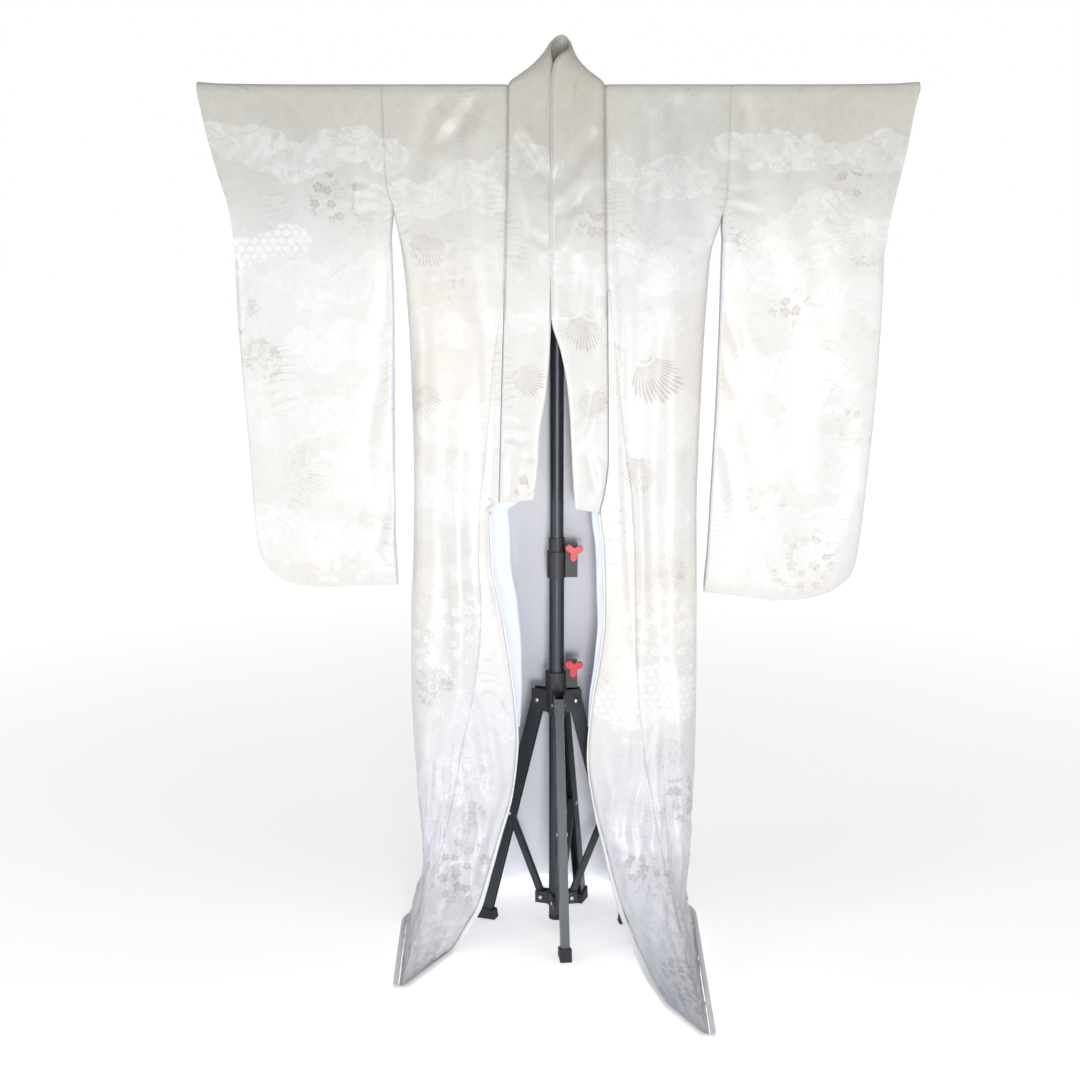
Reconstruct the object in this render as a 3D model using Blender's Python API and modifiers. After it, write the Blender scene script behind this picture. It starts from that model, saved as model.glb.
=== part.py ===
"""Uchikake wedding kimono hung on the crossbar of a telescopic stand.

Metres, +Z up, +X to the viewer's right, -Y towards the viewer. Inside the script the mast's axis is
X = Y = 0 and the floor is Z = 0; the empty that carries every piece then centres the whole on the
origin. Cloth is an open surface worked out from level sections of the garment and thickened outwards,
so the tables give the inner face. "Out" is the distance from the middle, "fwd" the distance towards
the viewer and "aft" the distance away from the viewer.
"""
import math
from collections import namedtuple

import bmesh
import bpy
import numpy as np
from mathutils import Matrix, Vector

# ---------------------------------------------------------------- driving dimensions
GAP = 0.0003                # clearance between neighbours
WALL = 0.0020               # silk with its lining
COLLAR_WALL = 0.0026        # collar band, folded double
COVER_WALL = 0.0012         # collar cover on the band
LINING_WALL = 0.0010
ROLL_RADIUS = 0.0050        # padded roll along the hem
EDGE_ROLL = 0.38            # the roll's share of that radius up the front edges

SHOULDER = 1.600            # top of the cloth over the crossbar
ROD_RADIUS = 0.0110
DRAPE_RADIUS = 0.0128       # inner radius of the cloth over the crossbar
ROD_LENGTH = 1.270
DRAPE_AXIS = SHOULDER - WALL - DRAPE_RADIUS
ROD_AXIS = SHOULDER - WALL - 1.5 * GAP - ROD_RADIUS

MAST_UPPER_RADIUS = 0.01275
MAST_LOWER_RADIUS = 0.01425
MAST_BORE = 0.01305         # bore of the lower tube and of what grips the upper one
MAST_JOIN = 0.700           # top of the lower tube
MAST_OVERLAP = 0.080
MAST_BOTTOM = 0.030
TEE_RADIUS = 0.0135
SLEEVE_BORE = MAST_LOWER_RADIUS + GAP

HUB_TOP = 0.517
HUB_MIDDLE = 0.482
HUB_BOTTOM = 0.438
HUB_RADIUS = 0.0210
EAR_REACH = 0.047
EAR_THICKNESS = 0.0020
LEG_WIDTH = 0.0160
LEG_DEPTH = 0.0250
LEG_SHEET = 0.0015
RIVET_RADIUS = 0.0028
RIVET_INSET = 0.0110        # of a rivet from the end of its ear or leg
LEG_END = 0.022
LEG_SPLAY = 0.25            # outward run for each metre down
BRACE_TOP = 0.225
BRACE_DEPTH = 0.0110
RING_LOW, RING_HIGH, RING_RADIUS, RING_REACH = 0.050, 0.074, 0.0185, 0.0400
FOOT_WIDTH = 0.022

KNOB_LOBE_MEAN = 0.0130
KNOB_LOBE_SWING = 0.0055
KNOB_THICKNESS = 0.0100
KNOB_SCREW = 0.0030
KNOB_BORE = 0.00312         # bored with twice the facets of the screw
KNOB_OUT = 0.0325           # distance of a knob's screw from the mast's axis
LUG_HALF = 0.0125

# ---------------------------------------------------------------- sections of the garment
Section = namedtuple("Section", "z edge_out edge_fwd seam_out seam_fwd side_out side_fwd turn")
Back = namedtuple("Back", "z aft turn")
Sleeve = namedtuple("Sleeve", "z inner outer half closed")
Band = namedtuple("Band", "seam_x seam_y seam_z free_x free_y free_z")
Fold = namedtuple("Fold", "z_top z_low u_top u_low width depth")

# Level sections of each front: its free edge (the collar seam above 0.86), the overlap seam, the side
# seam, and how far the cloth turns round a soft corner into the side seam.
FRONT = {
    "left": [
        Section(1.5852, 0.0905, 0.0128, 0.0905, 0.0128, 0.3135, 0.0128, 0.0),
        Section(1.4300, 0.0925, 0.0160, 0.0925, 0.0160, 0.3080, 0.0128, 0.0),
        Section(1.3750, 0.0940, 0.0180, 0.0940, 0.0180, 0.2950, 0.0110, 0.5),
        Section(1.3000, 0.0960, 0.0210, 0.0960, 0.0210, 0.2820, 0.0002, 1.0),
        Section(1.2360, 0.0972, 0.0240, 0.0990, 0.0240, 0.2755, 0.0002, 1.0),
        Section(1.1100, 0.1010, 0.0300, 0.1150, 0.0310, 0.2695, 0.0002, 1.0),
        Section(0.9000, 0.1068, 0.0390, 0.1350, 0.0400, 0.2655, 0.0002, 1.0),
        Section(0.8650, 0.1078, 0.0405, 0.1400, 0.0415, 0.2660, 0.0002, 1.0),
        Section(0.8460, 0.1083, 0.0410, 0.1415, 0.0420, 0.2662, 0.0002, 1.0),
        Section(0.8400, 0.1225, 0.0412, 0.1420, 0.0422, 0.2663, 0.0002, 1.0),
        Section(0.8320, 0.1260, 0.0415, 0.1430, 0.0425, 0.2665, 0.0002, 1.0),
        Section(0.7350, 0.1235, 0.0440, 0.1440, 0.0450, 0.2690, 0.0002, 1.0),
        Section(0.6500, 0.1070, 0.0460, 0.1410, 0.0475, 0.2740, 0.0002, 1.0),
        Section(0.4900, 0.0835, 0.0480, 0.1560, 0.0510, 0.2755, 0.0002, 1.0),
        Section(0.4000, 0.0760, 0.0480, 0.1760, 0.0530, 0.2725, 0.0002, 1.0),
        Section(0.3000, 0.0850, 0.0480, 0.1940, 0.0570, 0.2670, 0.0002, 1.0),
        Section(0.2000, 0.1130, 0.0550, 0.2170, 0.0740, 0.2590, 0.0002, 0.8),
        Section(0.1370, 0.1320, 0.0680, 0.2370, 0.0950, 0.2545, 0.0002, 0.6),
        Section(0.0810, 0.1505, 0.0850, 0.2510, 0.1300, 0.2700, -0.0040, 0.4),
        Section(0.0390, 0.1775, 0.1010, 0.2640, 0.1750, 0.2820, -0.0100, 0.2),
        Section(0.0090, 0.1985, 0.1210, 0.2770, 0.2380, 0.2910, -0.0170, 0.1),
        Section(0.0000, 0.2160, 0.1500, 0.2835, 0.2830, 0.2930, -0.0200, 0.0),
    ],
    "right": [
        Section(1.5852, 0.0860, 0.0128, 0.0860, 0.0128, 0.3085, 0.0128, 0.0),
        Section(1.4200, 0.0880, 0.0160, 0.0880, 0.0160, 0.3055, 0.0128, 0.0),
        Section(1.3630, 0.0895, 0.0180, 0.0895, 0.0180, 0.2960, 0.0110, 0.5),
        Section(1.3000, 0.0905, 0.0210, 0.0905, 0.0210, 0.2790, 0.0002, 1.0),
        Section(1.2430, 0.0920, 0.0240, 0.0935, 0.0240, 0.2745, 0.0002, 1.0),
        Section(1.1100, 0.0935, 0.0300, 0.1080, 0.0310, 0.2680, 0.0002, 1.0),
        Section(0.9270, 0.0950, 0.0380, 0.1280, 0.0390, 0.2620, 0.0002, 1.0),
        Section(0.8600, 0.0870, 0.0405, 0.1380, 0.0415, 0.2605, 0.0002, 1.0),
        Section(0.8300, 0.0800, 0.0415, 0.1400, 0.0425, 0.2605, 0.0002, 1.0),
        Section(0.7610, 0.0885, 0.0440, 0.1440, 0.0450, 0.2615, 0.0002, 1.0),
        Section(0.6280, 0.0910, 0.0465, 0.1470, 0.0480, 0.2640, 0.0002, 1.0),
        Section(0.5480, 0.0825, 0.0475, 0.1500, 0.0500, 0.2650, 0.0002, 1.0),
        Section(0.4740, 0.0700, 0.0480, 0.1550, 0.0520, 0.2660, 0.0002, 1.0),
        Section(0.3600, 0.0612, 0.0480, 0.1680, 0.0550, 0.2650, 0.0002, 1.0),
        Section(0.2600, 0.0755, 0.0500, 0.1850, 0.0630, 0.2610, 0.0002, 0.9),
        Section(0.1900, 0.0940, 0.0570, 0.2000, 0.0850, 0.2560, 0.0002, 0.7),
        Section(0.1000, 0.1180, 0.0800, 0.2210, 0.1450, 0.2500, -0.0020, 0.4),
        Section(0.0570, 0.1370, 0.1200, 0.2320, 0.2050, 0.2550, -0.0100, 0.25),
        Section(0.0200, 0.1580, 0.1850, 0.2430, 0.2980, 0.2640, -0.0350, 0.12),
        Section(0.0050, 0.1730, 0.2500, 0.2490, 0.3830, 0.2680, -0.0520, 0.05),
        Section(0.0000, 0.1980, 0.3540, 0.2530, 0.4660, 0.2690, -0.0600, 0.0),
    ],
}

# The back at its centre seam, the same on both sides: nearly straight, then a short train.
BACK = [
    Back(1.5852, 0.0158, 0.0), Back(1.4300, 0.0170, 0.0), Back(1.3700, 0.0200, 0.5), Back(1.3000, 0.0240, 1.0),
    Back(1.1000, 0.0340, 1.0), Back(0.9000, 0.0450, 1.0), Back(0.7000, 0.0580, 1.0), Back(0.5000, 0.0820, 1.0),
    Back(0.3600, 0.1080, 0.8), Back(0.2600, 0.1320, 0.6), Back(0.1600, 0.1620, 0.45), Back(0.1000, 0.1850, 0.35),
    Back(0.0500, 0.2120, 0.25), Back(0.0200, 0.2420, 0.2), Back(0.0060, 0.2680, 0.15), Back(0.0000, 0.2900, 0.1),
]
# The back neckline, from the shoulder point down to the centre seam: height and distance out.
NECKLINE = {"z": (1.5852, 1.5815, 1.5770, 1.5730), "share": (0.86, 0.60, 0.28, 0.0)}

# Sleeves: inner and outer edges, half the space between the two layers, and whether the outer edge is
# closed (1) or is the open cuff (0). The outer edge comes in round the lower corner.
SLEEVE = {
    "left": [
        Sleeve(1.5852, 0.3138, 0.6450, 0.0128, 0.0), Sleeve(1.5145, 0.3110, 0.6310, 0.0128, 0.0),
        Sleeve(1.4479, 0.3085, 0.6135, 0.0128, 0.0), Sleeve(1.3808, 0.3083, 0.5945, 0.0126, 0.0),
        Sleeve(1.3200, 0.3020, 0.5865, 0.0122, 0.0), Sleeve(1.2900, 0.3012, 0.5850, 0.0120, 1.0),
        Sleeve(1.2016, 0.2998, 0.5845, 0.0114, 1.0), Sleeve(1.0702, 0.3005, 0.5785, 0.0106, 1.0),
        Sleeve(0.9312, 0.3025, 0.5700, 0.0100, 1.0), Sleeve(0.7861, 0.3030, 0.5632, 0.0096, 1.0),
        Sleeve(0.7461, 0.3020, 0.5569, 0.0094, 1.0), Sleeve(0.7100, 0.3002, 0.5330, 0.0092, 1.0),
        Sleeve(0.6900, 0.2995, 0.4990, 0.0060, 1.0), Sleeve(0.6840, 0.2992, 0.4667, 0.0000, 1.0),
    ],
    "right": [
        Sleeve(1.5852, 0.3090, 0.6475, 0.0128, 0.0), Sleeve(1.5545, 0.3085, 0.6397, 0.0128, 0.0),
        Sleeve(1.4777, 0.3070, 0.6266, 0.0128, 0.0), Sleeve(1.4073, 0.3058, 0.6113, 0.0126, 0.0),
        Sleeve(1.3399, 0.3005, 0.5985, 0.0122, 0.0), Sleeve(1.2917, 0.2995, 0.5939, 0.0120, 1.0),
        Sleeve(1.2359, 0.2990, 0.5941, 0.0116, 1.0), Sleeve(1.0463, 0.2950, 0.5882, 0.0106, 1.0),
        Sleeve(0.8674, 0.2880, 0.5760, 0.0100, 1.0), Sleeve(0.7404, 0.2830, 0.5636, 0.0096, 1.0),
        Sleeve(0.7059, 0.2805, 0.5535, 0.0094, 1.0), Sleeve(0.6760, 0.2785, 0.5200, 0.0090, 1.0),
        Sleeve(0.6600, 0.2780, 0.4700, 0.0060, 1.0), Sleeve(0.6560, 0.2778, 0.4176, 0.0000, 1.0),
    ],
}
SLEEVE_LIFT = {"out": (0.30, 0.47, 0.60, 0.65), "rise": (0.0, 0.0, 0.0015, 0.0045)}
SLEEVE_LOWEST = 0.42        # distance out of the lowest point of the bottom edge
SLEEVE_HEM_RISE = {"left": 0.003, "right": 0.018}   # from there up to the inner corner

# The collar band from the left lower end, up over the left shoulder, round the back of the neck to its
# peak, and down the right front: the seam edge and the free edge of each section.
COLLAR = [
    Band(-0.1075, -0.0425, 0.8485, -0.0426, -0.0500, 0.8545),
    Band(-0.1064, -0.0400, 0.9140, -0.0352, -0.0485, 0.9140),
    Band(-0.1048, -0.0372, 0.9786, -0.0315, -0.0465, 0.9786),
    Band(-0.1030, -0.0342, 1.0447, -0.0205, -0.0445, 1.0447),
    Band(-0.1000, -0.0300, 1.1150, -0.0140, -0.0425, 1.1150),
    Band(-0.0980, -0.0262, 1.1800, -0.0110, -0.0405, 1.1800),
    Band(-0.0955, -0.0220, 1.2800, -0.0050, -0.0385, 1.2800),
    Band(-0.0935, -0.0185, 1.3900, -0.0040, -0.0360, 1.3900),
    Band(-0.0915, -0.0155, 1.4900, -0.0040, -0.0335, 1.5000),
    Band(-0.0898, -0.0126, 1.5830, -0.0050, -0.0325, 1.6000),
    Band(-0.0888, -0.0105, 1.5945, -0.0080, -0.0290, 1.6290),
    Band(-0.0865, -0.0020, 1.6000, -0.0110, -0.0180, 1.6470),
    Band(-0.0810, 0.0095, 1.5950, -0.0120, -0.0040, 1.6590),
    Band(-0.0545, 0.0148, 1.5850, -0.0100, 0.0140, 1.6730),
    Band(-0.0220, 0.0158, 1.5795, -0.0030, 0.0310, 1.6850),
    Band(0.0100, 0.0162, 1.5765, 0.0095, 0.0440, 1.6920),
    Band(0.0320, 0.0158, 1.5800, 0.0190, 0.0330, 1.6820),
    Band(0.0530, 0.0148, 1.5855, 0.0210, 0.0130, 1.6690),
    Band(0.0770, 0.0095, 1.5950, 0.0160, -0.0080, 1.6580),
    Band(0.0820, -0.0020, 1.6000, 0.0060, -0.0240, 1.6500),
    Band(0.0842, -0.0105, 1.5945, -0.0060, -0.0355, 1.6360),
    Band(0.0853, -0.0126, 1.5830, -0.0120, -0.0390, 1.6100),
    Band(0.0870, -0.0155, 1.4900, -0.0130, -0.0405, 1.5000),
    Band(0.0890, -0.0185, 1.3900, -0.0130, -0.0425, 1.3900),
    Band(0.0912, -0.0220, 1.2800, -0.0125, -0.0445, 1.2800),
    Band(0.0925, -0.0260, 1.1850, -0.0110, -0.0465, 1.1850),
    Band(0.0932, -0.0290, 1.1250, 0.0060, -0.0470, 1.1250),
    Band(0.0938, -0.0318, 1.0616, 0.0178, -0.0475, 1.0616),
    Band(0.0943, -0.0348, 0.9957, 0.0235, -0.0485, 0.9957),
    Band(0.0930, -0.0385, 0.9200, 0.0275, -0.0495, 0.9120),
    Band(0.0870, -0.0405, 0.8750, 0.0300, -0.0500, 0.8740),
    Band(0.0810, -0.0415, 0.8385, 0.0322, -0.0506, 0.8470),
    Band(0.0790, -0.0430, 0.8285, 0.0330, -0.0510, 0.8381),
]
COLLAR_COVER_FIRST, COLLAR_COVER_LAST = 5, 26   # sections between which the cover lies on the band

# The largest folds, as troughs (negative) and ridges across a panel: where they run and how deep.
FRONT_FOLDS = {
    "left": [Fold(0.95, 0.10, 0.35, 0.20, 0.12, 0.0050), Fold(0.70, 0.05, 0.62, 0.55, 0.10, -0.0050),
             Fold(0.55, 0.10, 0.15, 0.80, 0.12, 0.0040)],
    "right": [Fold(1.25, 0.30, 0.10, 0.05, 0.10, 0.0040), Fold(0.75, 0.05, 0.45, 0.30, 0.12, -0.0055),
              Fold(0.60, 0.05, 0.70, 0.65, 0.10, 0.0050)],
}
BACK_FOLDS = {
    "left": [Fold(1.25, 0.04, 0.30, 0.34, 0.10, 0.0060), Fold(1.00, 0.06, 0.62, 0.55, 0.10, -0.0060)],
    "right": [Fold(1.15, 0.06, 0.38, 0.30, 0.10, 0.0060), Fold(0.90, 0.04, 0.70, 0.66, 0.10, -0.0050)],
}

CORNER_START = 0.60         # share of a panel's width where it starts to turn into the side seam
PANEL_COLUMNS = np.array([0.0, 0.20, 0.40, 0.58, 0.74, 0.87, 0.965, 1.0])
OVERLAP_COLUMNS = np.array([0.0, 0.33, 0.67, 1.0])
SLEEVE_COLUMNS = np.array([0.0, 0.14, 0.30, 0.46, 0.62, 0.76, 0.88, 0.945, 0.982, 1.0])
LOW_LEVELS = (0.30, 0.25, 0.20, 0.165, 0.130, 0.100, 0.074, 0.052, 0.034, 0.019, 0.008, 0.0)
OVERLAP_TOP = 1.236
OVERLAP_LEVELS = np.concatenate([np.linspace(OVERLAP_TOP, 0.945, 5), (0.915, 0.880, 0.862, 0.846, 0.840, 0.832,
                                 0.80), np.linspace(0.74, 0.36, 6), LOW_LEVELS])
HIGH_LEVELS = np.linspace(DRAPE_AXIS, 1.295, 6)
PANEL_LEVELS = np.concatenate([HIGH_LEVELS, OVERLAP_LEVELS])
BACK_LEVELS = np.concatenate([NECKLINE["z"], HIGH_LEVELS[1:], OVERLAP_LEVELS])
LINING_TOP, LINING_LOW = 0.826, 0.420
LINING_SHOW = {"left": 0.034, "right": 0.012}   # how far the front lining shows past the edge
BACK_LINING_TOP = 1.30
ARC_STEPS = 7

# ---------------------------------------------------------------- colours
SILK = (0.86, 0.85, 0.82)
SILK_LINING = (0.80, 0.80, 0.90)
BLACK_METAL = (0.035, 0.038, 0.045)
BLACK_PLASTIC = (0.030, 0.032, 0.038)
RED_PLASTIC = (0.75, 0.03, 0.05)
RUBBER = (0.02, 0.02, 0.02)

LEGS = {"front": -84.0, "right": 10.0, "rear": 70.0, "left": 160.0}   # compass of each leg, degrees


# ---------------------------------------------------------------- small tools
def clear_scene():
    """Removes every object that the file opened with."""
    for item in list(bpy.data.objects):
        bpy.data.objects.remove(item, do_unlink=True)


def new_collection(name):
    """A collection under the scene's own."""
    collection = bpy.data.collections.new(name)
    bpy.context.scene.collection.children.link(collection)
    return collection


def material(name, colour, roughness, metallic=0.0):
    """A Principled material of one colour."""
    made = bpy.data.materials.new(name)
    made.use_nodes = True
    shader = made.node_tree.nodes["Principled BSDF"]
    shader.inputs["Base Color"].default_value = (*colour, 1.0)
    shader.inputs["Roughness"].default_value = roughness
    shader.inputs["Metallic"].default_value = metallic
    made.diffuse_color = (*colour, 1.0)
    return made


def smooth(knots, values, at):
    """A monotone cubic through the points (knots, values), read at the numbers in at."""
    order = np.argsort(knots)
    x = np.asarray(knots, float)[order]
    y = np.asarray(values, float)[order]
    step = np.diff(x)
    rise = np.diff(y) / step
    slope = np.zeros_like(y)
    slope[0], slope[-1] = rise[0], rise[-1]
    product = rise[:-1] * rise[1:]
    total = np.where(np.abs(rise[:-1] + rise[1:]) < 1e-12, 1.0, rise[:-1] + rise[1:])
    slope[1:-1] = np.where(product > 0.0, 2.0 * product / total, 0.0)
    at = np.clip(np.asarray(at, float), x[0], x[-1])
    k = np.clip(np.searchsorted(x, at) - 1, 0, len(x) - 2)
    t = (at - x[k]) / step[k]
    return ((1 + 2 * t) * (1 - t) ** 2 * y[k] + t * (1 - t) ** 2 * step[k] * slope[k]
            + t * t * (3 - 2 * t) * y[k + 1] + t * t * (t - 1) * step[k] * slope[k + 1])


def column(table, name, levels):
    """One named column of a table of sections, read at the given heights."""
    return smooth([row.z for row in table], [getattr(row, name) for row in table], levels)


def corner(u):
    """0 along a panel, then a quarter ellipse that rises to 1 at its end."""
    t = np.clip((u - CORNER_START) / (1.0 - CORNER_START), 0.0, 1.0)
    return 1.0 - np.sqrt(1.0 - t * t)


def fold_depth(folds, levels, u):
    """Sum of soft ridges and troughs, each a bell across the panel that fades at both ends."""
    depth = np.zeros((len(levels), len(u)))
    for fold in folds:
        along = (fold.z_top - levels) / (fold.z_top - fold.z_low)
        fade = np.where((along > 0) & (along < 1), np.sin(np.pi * np.clip(along, 0, 1)) ** 0.7, 0.0)
        middle = fold.u_top + (fold.u_low - fold.u_top) * along
        bell = np.exp(-((u[None, :] - middle[:, None]) / fold.width) ** 2)
        depth += fold.depth * fade[:, None] * bell
    return depth * (np.sin(np.pi * u) ** 0.5)[None, :]


def grid_mesh(name, points, flip):
    """A mesh of quads over an array of points in rows and columns; doubles are merged."""
    rows, columns = points.shape[:2]
    mesh = bpy.data.meshes.new(name)
    shape = bmesh.new()
    corners = [[shape.verts.new(point) for point in row] for row in points]
    for i in range(rows - 1):
        for j in range(columns - 1):
            face = [corners[i][j], corners[i + 1][j], corners[i + 1][j + 1], corners[i][j + 1]]
            shape.faces.new(reversed(face) if flip else face)
    bmesh.ops.remove_doubles(shape, verts=shape.verts, dist=1e-5)
    shape.to_mesh(mesh)
    shape.free()
    mesh.shade_smooth()
    return mesh


class Workshop:
    """Adds finished pieces to one collection, under one empty, and cutters to another."""

    def __init__(self):
        self.parts = new_collection("uchikake_on_stand")
        self.cutters = new_collection("cutters")
        self.root = bpy.data.objects.new("part_origin", None)
        self.parts.objects.link(self.root)

    def add(self, name, mesh, surface, at=Matrix.Identity(4)):
        """One named piece with its own material."""
        piece = bpy.data.objects.new(name, mesh)
        self.parts.objects.link(piece)
        piece.data.materials.append(surface)
        piece.parent = self.root
        piece.matrix_local = at
        return piece

    def cloth(self, name, points, flip, wall, surface):
        """A sheet of cloth: its inner face is the grid of points, its wall stands outwards."""
        piece = self.add(name, grid_mesh(name, points, flip), surface)
        solidify = piece.modifiers.new("wall", "SOLIDIFY")
        solidify.thickness = wall
        solidify.offset = 1.0
        return piece

    def outline(self, name, points, thickness, surface, at):
        """A flat outline drawn in its own X and Y, as thick as given about its plane."""
        curve = bpy.data.curves.new(name, "CURVE")
        curve.dimensions = "2D"
        curve.fill_mode = "BOTH"
        curve.extrude = thickness / 2
        spline = curve.splines.new("POLY")
        spline.points.add(len(points) - 1)
        for target, (x, y) in zip(spline.points, points):
            target.co = (x, y, 0.0, 1.0)
        spline.use_cyclic_u = True
        return self.add(name, curve, surface, at)

    def tube(self, name, path, radius, factors, surface, sides_resolution=1):
        """A closed tube along a path, with a radius factor for each point."""
        curve = bpy.data.curves.new(name, "CURVE")
        curve.dimensions = "3D"
        curve.bevel_depth = radius
        curve.bevel_resolution = sides_resolution
        curve.use_fill_caps = True
        spline = curve.splines.new("POLY")
        spline.points.add(len(path) - 1)
        for target, point, factor in zip(spline.points, path, factors):
            target.co = (*point, 1.0)
            target.radius = factor
        return self.add(name, curve, surface)

    def turned(self, name, profile, surface, steps=24):
        """A profile of (radius, height) turned about Z; closed profiles make rings."""
        mesh = bpy.data.meshes.new(name)
        edges = [(k, (k + 1) % len(profile)) for k in range(len(profile))]
        mesh.from_pydata([(radius, 0.0, height) for radius, height in profile], edges, [])
        piece = self.add(name, mesh, surface)
        screw = piece.modifiers.new("turn", "SCREW")
        screw.steps = screw.render_steps = steps
        screw.use_merge_vertices = True
        screw.merge_threshold = 0.00005
        screw.use_smooth_shade = False
        return piece

    def solid_mesh(self, shapes):
        """One mesh of boxes and cylinders: (kind, size or radius and length, matrix)."""
        mesh = bpy.data.meshes.new("solid")
        shape = bmesh.new()
        for kind, size, at in shapes:
            if kind == "box":
                made = bmesh.ops.create_cube(shape, size=1.0, matrix=at @ Matrix.Diagonal((*size, 1.0)))
            else:
                radius, length = size
                made = bmesh.ops.create_cone(shape, cap_ends=True, segments=kind, radius1=radius,
                                             radius2=radius, depth=length, matrix=at)
            assert made["verts"]
        shape.to_mesh(mesh)
        shape.free()
        return mesh

    def combine(self, piece, shapes, operation):
        """Joins boxes and cylinders to a piece, or cuts them from it."""
        cutter = bpy.data.objects.new(piece.name + "_" + operation.lower(), self.solid_mesh(shapes))
        self.cutters.objects.link(cutter)
        cutter.parent = self.root
        cutter.hide_render = True
        cutter.display_type = "WIRE"
        boolean = piece.modifiers.new(operation.lower(), "BOOLEAN")
        boolean.operation = operation
        boolean.object = cutter
        return piece


# ---------------------------------------------------------------- the garment
def front_surface(side, levels, u):
    """Inner face of a front between the overlap seam (u = 0) and the side seam (u = 1)."""
    table = FRONT[side]
    sign = -1.0 if side == "left" else 1.0
    seam_out, seam_fwd, side_out, side_fwd, turn = (
        column(table, name, levels)[:, None]
        for name in ("seam_out", "seam_fwd", "side_out", "side_fwd", "turn"))
    side_out = side_out - 2 * GAP
    seam_out = seam_out + GAP / 2
    bend = (1.0 - turn) * u + turn * corner(u)
    out = seam_out + (side_out - seam_out) * u
    fwd = seam_fwd + (side_fwd + GAP / 2 - seam_fwd) * bend
    depth = fold_depth(FRONT_FOLDS[side], levels, u)
    return np.stack([sign * out, -(fwd + depth), np.broadcast_to(levels[:, None], out.shape)], axis=-1)


def overlap_surface(side, levels, u):
    """Inner face of an overlap panel between its free edge (u = 0) and the overlap seam (u = 1)."""
    table = FRONT[side]
    sign = -1.0 if side == "left" else 1.0
    edge_out, edge_fwd, seam_out, seam_fwd = (
        column(table, name, levels)[:, None] for name in ("edge_out", "edge_fwd", "seam_out", "seam_fwd"))
    seam_out = seam_out - GAP / 2
    out = edge_out + (seam_out - edge_out) * u
    fwd = edge_fwd + (seam_fwd - edge_fwd) * u
    return np.stack([sign * out, -fwd, np.broadcast_to(levels[:, None], out.shape)], axis=-1)


def back_surface(side, levels, u):
    """Inner face of the back between the centre seam or neckline (u = 0) and the side seam (u = 1)."""
    sign = -1.0 if side == "left" else 1.0
    neck_out = FRONT[side][0].seam_out
    share = np.interp(-levels, [-z for z in NECKLINE["z"]], NECKLINE["share"])
    inner_out = (neck_out * share + GAP / 2)[:, None]
    side_out = column(FRONT[side], "side_out", levels)[:, None] - 2 * GAP
    side_aft = -column(FRONT[side], "side_fwd", levels)[:, None]
    open_side = (levels > 1.33)[:, None]
    side_aft = np.where(open_side, -side_aft, side_aft) + GAP / 2
    aft, turn = (column(BACK, name, levels)[:, None] for name in ("aft", "turn"))
    centre_aft = aft * (1.0 - share[:, None]) + DRAPE_RADIUS * share[:, None]
    bend = (1.0 - turn) * (1.0 - np.cos(math.pi / 2 * u)) + turn * corner(u)
    out = inner_out + (side_out - inner_out) * u
    depth = fold_depth(BACK_FOLDS[side], levels, u)
    along = centre_aft + (side_aft - centre_aft) * bend + depth
    return np.stack([sign * out, along, np.broadcast_to(levels[:, None], out.shape)], axis=-1)


def body_panels(side):
    """A body strip as its front and its back, which carries it over the crossbar; inner faces."""
    u = PANEL_COLUMNS
    sign = -1.0 if side == "left" else 1.0
    front = front_surface(side, PANEL_LEVELS, u)[::-1]
    back = back_surface(side, BACK_LEVELS, u)
    angles = np.linspace(GAP / DRAPE_RADIUS, math.pi, ARC_STEPS + 2)[:-1]
    first = FRONT[side][0]
    inner = first.seam_out + GAP / 2
    side_out = first.side_out - 2 * GAP
    tuck = np.interp(angles, (math.pi / 2, math.pi), (1.0, NECKLINE["share"][0]))[:, None]
    out = inner * tuck + (side_out - inner * tuck) * u
    arc = np.stack([sign * out,
                    np.broadcast_to(-DRAPE_RADIUS * np.cos(angles)[:, None], out.shape),
                    np.broadcast_to(DRAPE_AXIS + DRAPE_RADIUS * np.sin(angles)[:, None], out.shape)], axis=-1)
    return front, np.concatenate([arc, back])


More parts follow.
